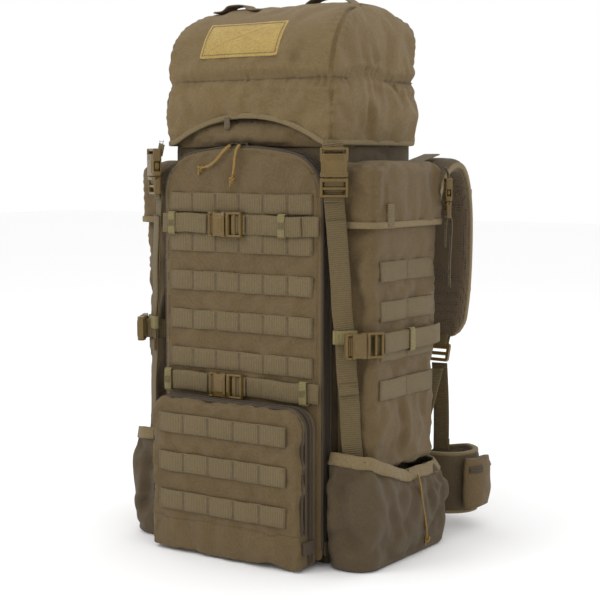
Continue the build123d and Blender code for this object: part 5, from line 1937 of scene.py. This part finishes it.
@dataclass
class Harness(Sided):
    """A padded shoulder strap with its lock, adjuster, load lifter and half of the chest strap."""

    inner: float = 84.0
    outer: float = 150.0
    thick: float = 16.0

    def path(self) -> Array:
        """The strap's middle line, from the yoke over the shoulder to the lock."""
        points = [(117, 86, 428), (117, 98, 470), (117, 128, 499), (117, 166, 497), (117, 184, 452),
                  (117, 186.4, 385), (117, 181, 315), (117, 164, 262)]
        return smooth_line(points, 6.0, 3)

    def build(self) -> None:
        """Make every piece of this side."""
        line = self.path()
        along = np.gradient(line, axis=0)
        along /= np.linalg.norm(along, axis=1, keepdims=True)
        across = np.array([1.0, 0, 0])
        face = np.cross(across, along)
        ease = np.clip(np.minimum(np.arange(len(line)), np.arange(len(line))[::-1]) / 3.5, 0, 1) ** 0.5
        self.padding("shoulder", "shoulder_strap", (line, face, across),
                     (self.outer - self.inner) / 2 * (0.55 + 0.45 * ease), self.thick / 2
                     * (0.35 + 0.65 * ease),
                     ("out", "in"), ("top", "end"), 0.75, (40.0, 2.0))
        self.webbing(self.word, "shoulder_" + self.word, line, face)

    def webbing(self, name: str, body: str, line: Array, face: Array) -> None:
        """The straps on, above and below the shoulder strap."""
        flip = np.array([self.side, 1, 1])
        top = line[8:-2] + face[8:-2] * (self.thick / 2 + 1.2) * np.sign(face[20][1])
        on = Straps().add(top * flip, (1, 0, 0))
        for z in (452.0, 398.0, 330.0):
            k = int(np.argmin(np.abs(line[:, 2] - z) + (line[:, 1] < 150) * 500))
            centre = line[k] + face[k] * (self.thick / 2 + 2.6) * np.sign(face[20][1])
            bar = [centre + (x, 0, 0) for x in np.linspace(-31, 31, 24)]
            on.add(np.array(bar) * flip, (0, 0, 1), 19.0, 1.6)
        # The harness webbing here and below is the darker copy: painted shade.
        on.place("shoulder_webbing_" + name, STRAP_WEB_PAINTED_SHADE, body)
        node_name = "harness_webbing_" + name
        wave = 2.0 * np.sin(np.linspace(0, math.pi, 60))
        pieces = {"adjuster": ((118, 146.5, 214), (131, 69, 122)),
                  "tail": ((118, 158.5, 221), (121, 160, 96)),
                  "lifter": ((117, 68.5, 500), (117, 133, 512.5))}
        for word, (start, end) in pieces.items():
            run = np.array([np.array(start) + (np.array(end) - start) * s for s in np.linspace(0, 1, 60)])
            run[:, 1] += wave * (1.4 if word == "tail" else 0.5)
            made = Straps().add(run * flip, (1, 0, 0))
            if word == "tail":
                made.add((run[-9:] + (0, 1.9, 0)) * flip, (1, 0, 0), 24.8, 1.6)
                made.place("strap_tail_" + name, STRAP_WEB_PAINTED_SHADE, body, [node_name])
                continue
            piece = made.place("strap_" + word + "_" + name, STRAP_WEB_PAINTED_SHADE, body, [node_name])
            piece.parent = None
            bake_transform(piece)
        dress("strap_lock_" + name, BUCKLE)
        hang = [(118, 170, 276), (118, 168.5, 262), (118, 162.5, 249), (118, 158.8, 243.5),
                (118, 155.4, 247),
                (118, 161, 262), (118, 163, 276)]
        Straps().add(smooth_line(hang, 2.0, 2) * flip, (1, 0, 0)).place("lock_loop_" + name, STRAP_WEB_PAINTED_SHADE,
                                                                        body)
        z, y = 398.0, 176.3
        chest = Straps().add(np.array([(x, y + 0.4 * math.sin(x / 9), z) for x in np.linspace(26, 84, 30)])
                             * flip,
                             (0, 0, 1), 20.0, 1.8)
        chest.place("chest_webbing_" + name, WEB, body, ["sternum_half_" + name])
        small = Buckle(12, 8, 15, 21, 12, 18)
        if self.side > 0:
            half = Buckle.put(small.socket(), (15, y - 7.5, z), 0, 90)
        else:
            half = Buckle.put(small.plug(), (16, y - 7.5, z), 0, -90).mirrored()
        placed("chest_buckle_" + name, half, BUCKLE, body)


@dataclass
class HipBelt(Sided):
    """A padded wing of the hip belt with its zipped pocket and half of the belt buckle."""

    low: float = 24.0
    high: float = 104.0
    thick: float = 13.0
    wing: tuple[tuple[float, float], ...] = ((97, 100), (140, 99), (176, 116), (184, 152), (156, 182),
                                             (92, 187.6))
    pocket_plan: tuple[tuple[float, float], ...] = ((181, 104), (192, 108), (204, 124), (204, 150),
                                                    (196, 166), (190.8, 160), (191, 148), (184.6, 114))
    zip_drop: float = 15.0
    belt_y: float = 187.6
    belt_z: float = 64.0

    def build(self) -> None:
        """Make the wing, the pocket and the belt's end."""
        name, body = self.word, "hip_" + self.word
        plan = smooth_line(self.wing, 6.0, 3)
        line = np.column_stack([plan, np.full(len(plan), (self.low + self.high) / 2)])
        along = np.gradient(line, axis=0)
        along /= np.linalg.norm(along, axis=1, keepdims=True)
        up = np.array([0, 0, 1.0])
        ease = np.clip(np.minimum(np.arange(len(line)), np.arange(len(line))[::-1]) / 3.5, 0, 1) ** 0.5
        taper = 1 - 0.30 * np.clip(np.linspace(0, 1, len(line)) - 0.72, 0, 1) / 0.28
        self.padding("hip", "hip_wing", (line, np.cross(along, up), up),
                     (self.high - self.low) / 2 * (0.8 + 0.2 * ease) * taper, self.thick / 2
                     * (0.4 + 0.6 * ease),
                     ("high", "low"), ("root", "tip"), 0.7, (36.0, 6.0))
        self.pocket(name, body)
        self.belt(name, body)

    def pocket(self, name: str, body: str) -> None:
        """The little zipped pocket on the wing."""
        plan = smooth_line(self.pocket_plan, 4.0, 3, True)
        plan = plan[:-1]
        if len(plan) % 2:
            plan = plan[:-1]
        nx = 6
        ny = len(plan) // 2 - nx
        middle, rings, low, high = plan.mean(0), [], self.low + 8, self.high - 4
        for turn in np.linspace(-math.pi / 2, math.pi / 2, 16):
            draw = 3.2 * (1 - math.cos(turn))
            away = plan - middle
            away = away / np.linalg.norm(away, axis=1, keepdims=True)
            z = (low + high) / 2 + (high - low) / 2 * math.copysign(abs(math.sin(turn)) ** 0.8, turn)
            rings.append(level(plan - away * draw, z))
        skin = lofted(rings, nx, ny, True, True).refined(1).rumpled(free, 2.2, 22.0)
        placed("hip_pocket_cloth_" + name, self.turned(skin), CLOTH, body,
               ["hip_pocket_" + name])
        front = plan[(plan[:, 0] > 188) & (plan[:, 1] > 104) & (plan[:, 0] + plan[:, 1] * 0.2 > 211)]
        front = front[np.argsort(front[:, 1])]
        away = front - middle
        away = away / np.linalg.norm(away, axis=1, keepdims=True)
        line = evenly(smooth_line(level(front + away * 0.6, high - self.zip_drop), 2.0, 1), 2.0)
        tape, flat = strip(line, (0, 0, 1), 9.0, 1.4)
        placed("hip_zip_tape_" + name, self.turned(tape), TAPE_CLOTH, body, (), flat)
        teeth = tube(line + (1.0, 0, 0), 1.2, 6)
        placed("hip_zip_teeth_" + name, self.turned(teeth), COIL, body)

    def belt(self, name: str, body: str) -> None:
        """The belt's webbing and its half of the buckle."""
        flip = np.array([self.side, 1, 1])
        run = np.array([(x, self.belt_y + 0.3 * math.sin(x / 8), self.belt_z)
                        for x in np.linspace(42, 94, 30)])
        # The belt webbing is the darker copy: painted shade.
        Straps().add(run * flip, (0, 0, 1), 38.0, 2.2).place("belt_webbing_" + name, STRAP_WEB_PAINTED_SHADE, body,
                                                             ["belt_end_" + name])
        large = Buckle(26, 12, 28, 40, 22, 30)
        if self.side > 0:
            half = Buckle.put(large.socket(), (6, self.belt_y, self.belt_z), 0, 90)
        else:
            half = Buckle.put(large.plug(), (22, self.belt_y, self.belt_z), 0, -90).mirrored()
        placed("belt_buckle_" + name, half, BUCKLE, body)


# ---- cords -------------------------------------------------------------------------------------------
@dataclass
class Cords:
    """The drawcords of the stow pockets and the cord pulls of the two sliders."""

    thick: float = 2.6
    stow: tuple[Point, ...] = ((193.2, -33, 106), (197.4, -34, 96), (197.8, -30, 72), (197.4, -20, 44),
                               (197, -13, 18))
    pull_right: tuple[Point, ...] = ((0.5, -151.2, 524.0), (0, -156.5, 522), (-2, -159, 509),
                                     (-3.5, -158.5, 494), (-7, -157.5, 480))
    pull_left: tuple[Point, ...] = ((-14.5, -151.2, 523.8), (-17, -156.5, 521), (-27, -159, 509),
                                    (-41, -158, 498), (-58, -157, 494))

    def knot(self, name: str, at: Sequence[float], body: str) -> bpy.types.Object:
        """An overhand knot drawn tight round a point."""
        turns = np.linspace(0, 2 * math.pi, 60, endpoint=False)
        line = np.column_stack([np.sin(turns) + 2 * np.sin(2 * turns), -np.sin(3 * turns) * 1.5,
                                np.cos(turns) - 2 * np.cos(2 * turns)]) * 1.15 + np.asarray(at, float)
        return placed(name, tube(line, self.thick / 2 * 0.95, 8, True), CORD, body)

    @staticmethod
    def spline_points(curve: bpy.types.Curve) -> Array:
        """The points along a cord's spline, in millimetres."""
        bare = curve.copy()
        bare.bevel_depth = 0.0
        probe = bpy.data.objects.new("spline_probe", bare)
        mesh = bpy.data.meshes.new_from_object(probe)
        points = np.array([vertex.co for vertex in mesh.vertices]) / MM
        bpy.data.objects.remove(probe)
        bpy.data.meshes.remove(mesh)
        bpy.data.curves.remove(bare)
        return points

    def cord(self, name: str, route: Sequence[Point], length: float, body: str,
             nodes: Sequence[str]) -> None:
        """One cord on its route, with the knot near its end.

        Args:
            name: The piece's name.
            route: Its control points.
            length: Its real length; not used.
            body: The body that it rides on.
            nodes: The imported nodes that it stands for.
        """
        curve = bpy.data.curves.new(name, "CURVE")
        curve.dimensions = "3D"
        spline = curve.splines.new("NURBS")
        spline.points.add(len(route) - 1)
        for place, point in zip(spline.points, route):
            place.co = (*(v * MM for v in point), 1.0)
        spline.order_u, spline.use_endpoint_u = 3, True
        curve.resolution_u, curve.bevel_depth, curve.bevel_resolution = 10, self.thick / 2 * MM, 3
        curve.use_fill_caps = True
        curve.materials.append(CORD.material())
        made = bpy.data.objects.new(name, curve)
        bpy.context.collection.objects.link(made)
        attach(made, body)
        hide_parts(*nodes)
        line = self.spline_points(curve)
        knot = self.knot(name + "_knot", line[-1], body)
        twin = line[:-4] + (1.6, -0.8, -1.0)
        tail = line[-1] + [(0, 0, 0), (-2, -0.5, -4), (-3.4, 0.3, -8)]
        strands = merged([tube(twin, self.thick / 2, 8),
                          tube(smooth_line(tail, 1.0, 2), self.thick / 2, 8)])
        extra = placed(name + "_twin", strands, CORD, body)
        log.info("%s on %s", name, body)

    def build(self) -> None:
        """Hang all four cords."""
        for side, name in ((1, "right"), (-1, "left")):
            route = [(x * side, y, z) for x, y, z in self.stow]
            self.cord("stow_cord_" + name, route, 91.6, "bag", ["stow_cords"])
        self.cord("pull_right", self.pull_right, 48.1, "slider_right", ["pull_cord_right"])
        self.cord("pull_left", self.pull_left, 57.0, "slider_left", ["pull_cord_left"])
        for name in ("slider_right", "slider_left"):
            dress(name, SLIDER)


# ---- studio --------------------------------------------------------------------------------------------
@dataclass
class Studio:
    """A pale floor, soft lights and the camera."""

    eye: Point = (1075.5, -1581.4, 504.85)
    azimuth: float = 34.5
    pitch: float = 5.64
    lens: float = 85.0

    def build(self) -> None:
        """Set up the camera, the floor and the lights."""
        self.camera()
        self.floor()
        world = bpy.data.worlds.new("soft_white")
        bpy.context.scene.world = world
        world.use_nodes = True
        sky = world.node_tree.nodes["Background"]
        sky.inputs["Color"].default_value = linear("#ffffff")
        sky.inputs["Strength"].default_value = 1.0
        self.light("key", (-0.9, -1.9, 1.9), (0, 0, 0.35), 1.2, 14.0)
        self.light("fill", (2.2, -0.9, 1.0), (0.05, 0, 0.3), 1.6, 3.0)
        self.light("back", (0.9, 2.0, 1.5), (0, 0, 0.3), 1.6, 7.0)
        self.light("top", (0.0, -0.2, 2.4), (0, 0, 0.3), 1.6, 7.0)
        bpy.context.scene.view_settings.view_transform = "Standard"

    def camera(self) -> None:
        """The camera at the height of the pack's chest, a little above its middle."""
        lens = bpy.data.cameras.new("camera")
        lens.lens, lens.sensor_width = self.lens, 36.0
        eye = bpy.data.objects.new("camera", lens)
        eye.location = [v * MM for v in self.eye]
        eye.rotation_euler = (math.radians(90 - self.pitch), 0, math.radians(self.azimuth))
        bpy.context.collection.objects.link(eye)
        bpy.context.scene.camera = eye

    def floor(self) -> None:
        """A wide pale floor of seamless paper."""
        far = 9000.0
        corners = np.array([(-far, -far, 0), (far, -far, 0), (far, far, 0), (-far, far, 0)])
        mesh = Skin(corners, [(0, 1, 2, 3)]).mesh("floor")
        paper = bpy.data.materials.new("paper")
        paper.use_nodes = True
        face = paper.node_tree.nodes["Principled BSDF"]
        face.inputs["Base Color"].default_value = linear("#fbfbfb")
        face.inputs["Roughness"].default_value = 0.9
        mesh.materials.append(paper)
        floor = bpy.data.objects.new("floor", mesh)
        bpy.context.collection.objects.link(floor)

    def light(self, name: str, at: Point, aim: Point, size: float, power: float) -> None:
        """A square soft light.

        Args:
            name: Its name.
            at: Its place, in metres.
            aim: The point that it looks at, in metres.
            size: The side of its square, in metres.
            power: Its power in watts.
        """
        lamp = bpy.data.lights.new(name, "AREA")
        lamp.size, lamp.energy = size, power
        made = bpy.data.objects.new(name, lamp)
        made.location = at
        made.rotation_euler = (Vector(aim) - Vector(at)).to_track_quat("-Z", "Y").to_euler()
        bpy.context.collection.objects.link(made)


def main() -> None:
    """Build the studio and every part of the pack in order."""
    logging.basicConfig(level=logging.INFO, format="%(name)s: %(message)s")
    crown = Crown()
    parts = [Studio(), Cords(), Lid(), FrontPanel(crown), MainZip(crown), LowerPocket(), Bag(crown),
             SidePouch(1), SidePouch(-1), StowPocket(1), StowPocket(-1), LidStraps(), BackPanel(),
             Harness(1), Harness(-1), HipBelt(1), HipBelt(-1)]
    for part in parts:
        part.build()
        log.info("%s done", type(part).__name__)


if __name__ == "__main__":
    main()
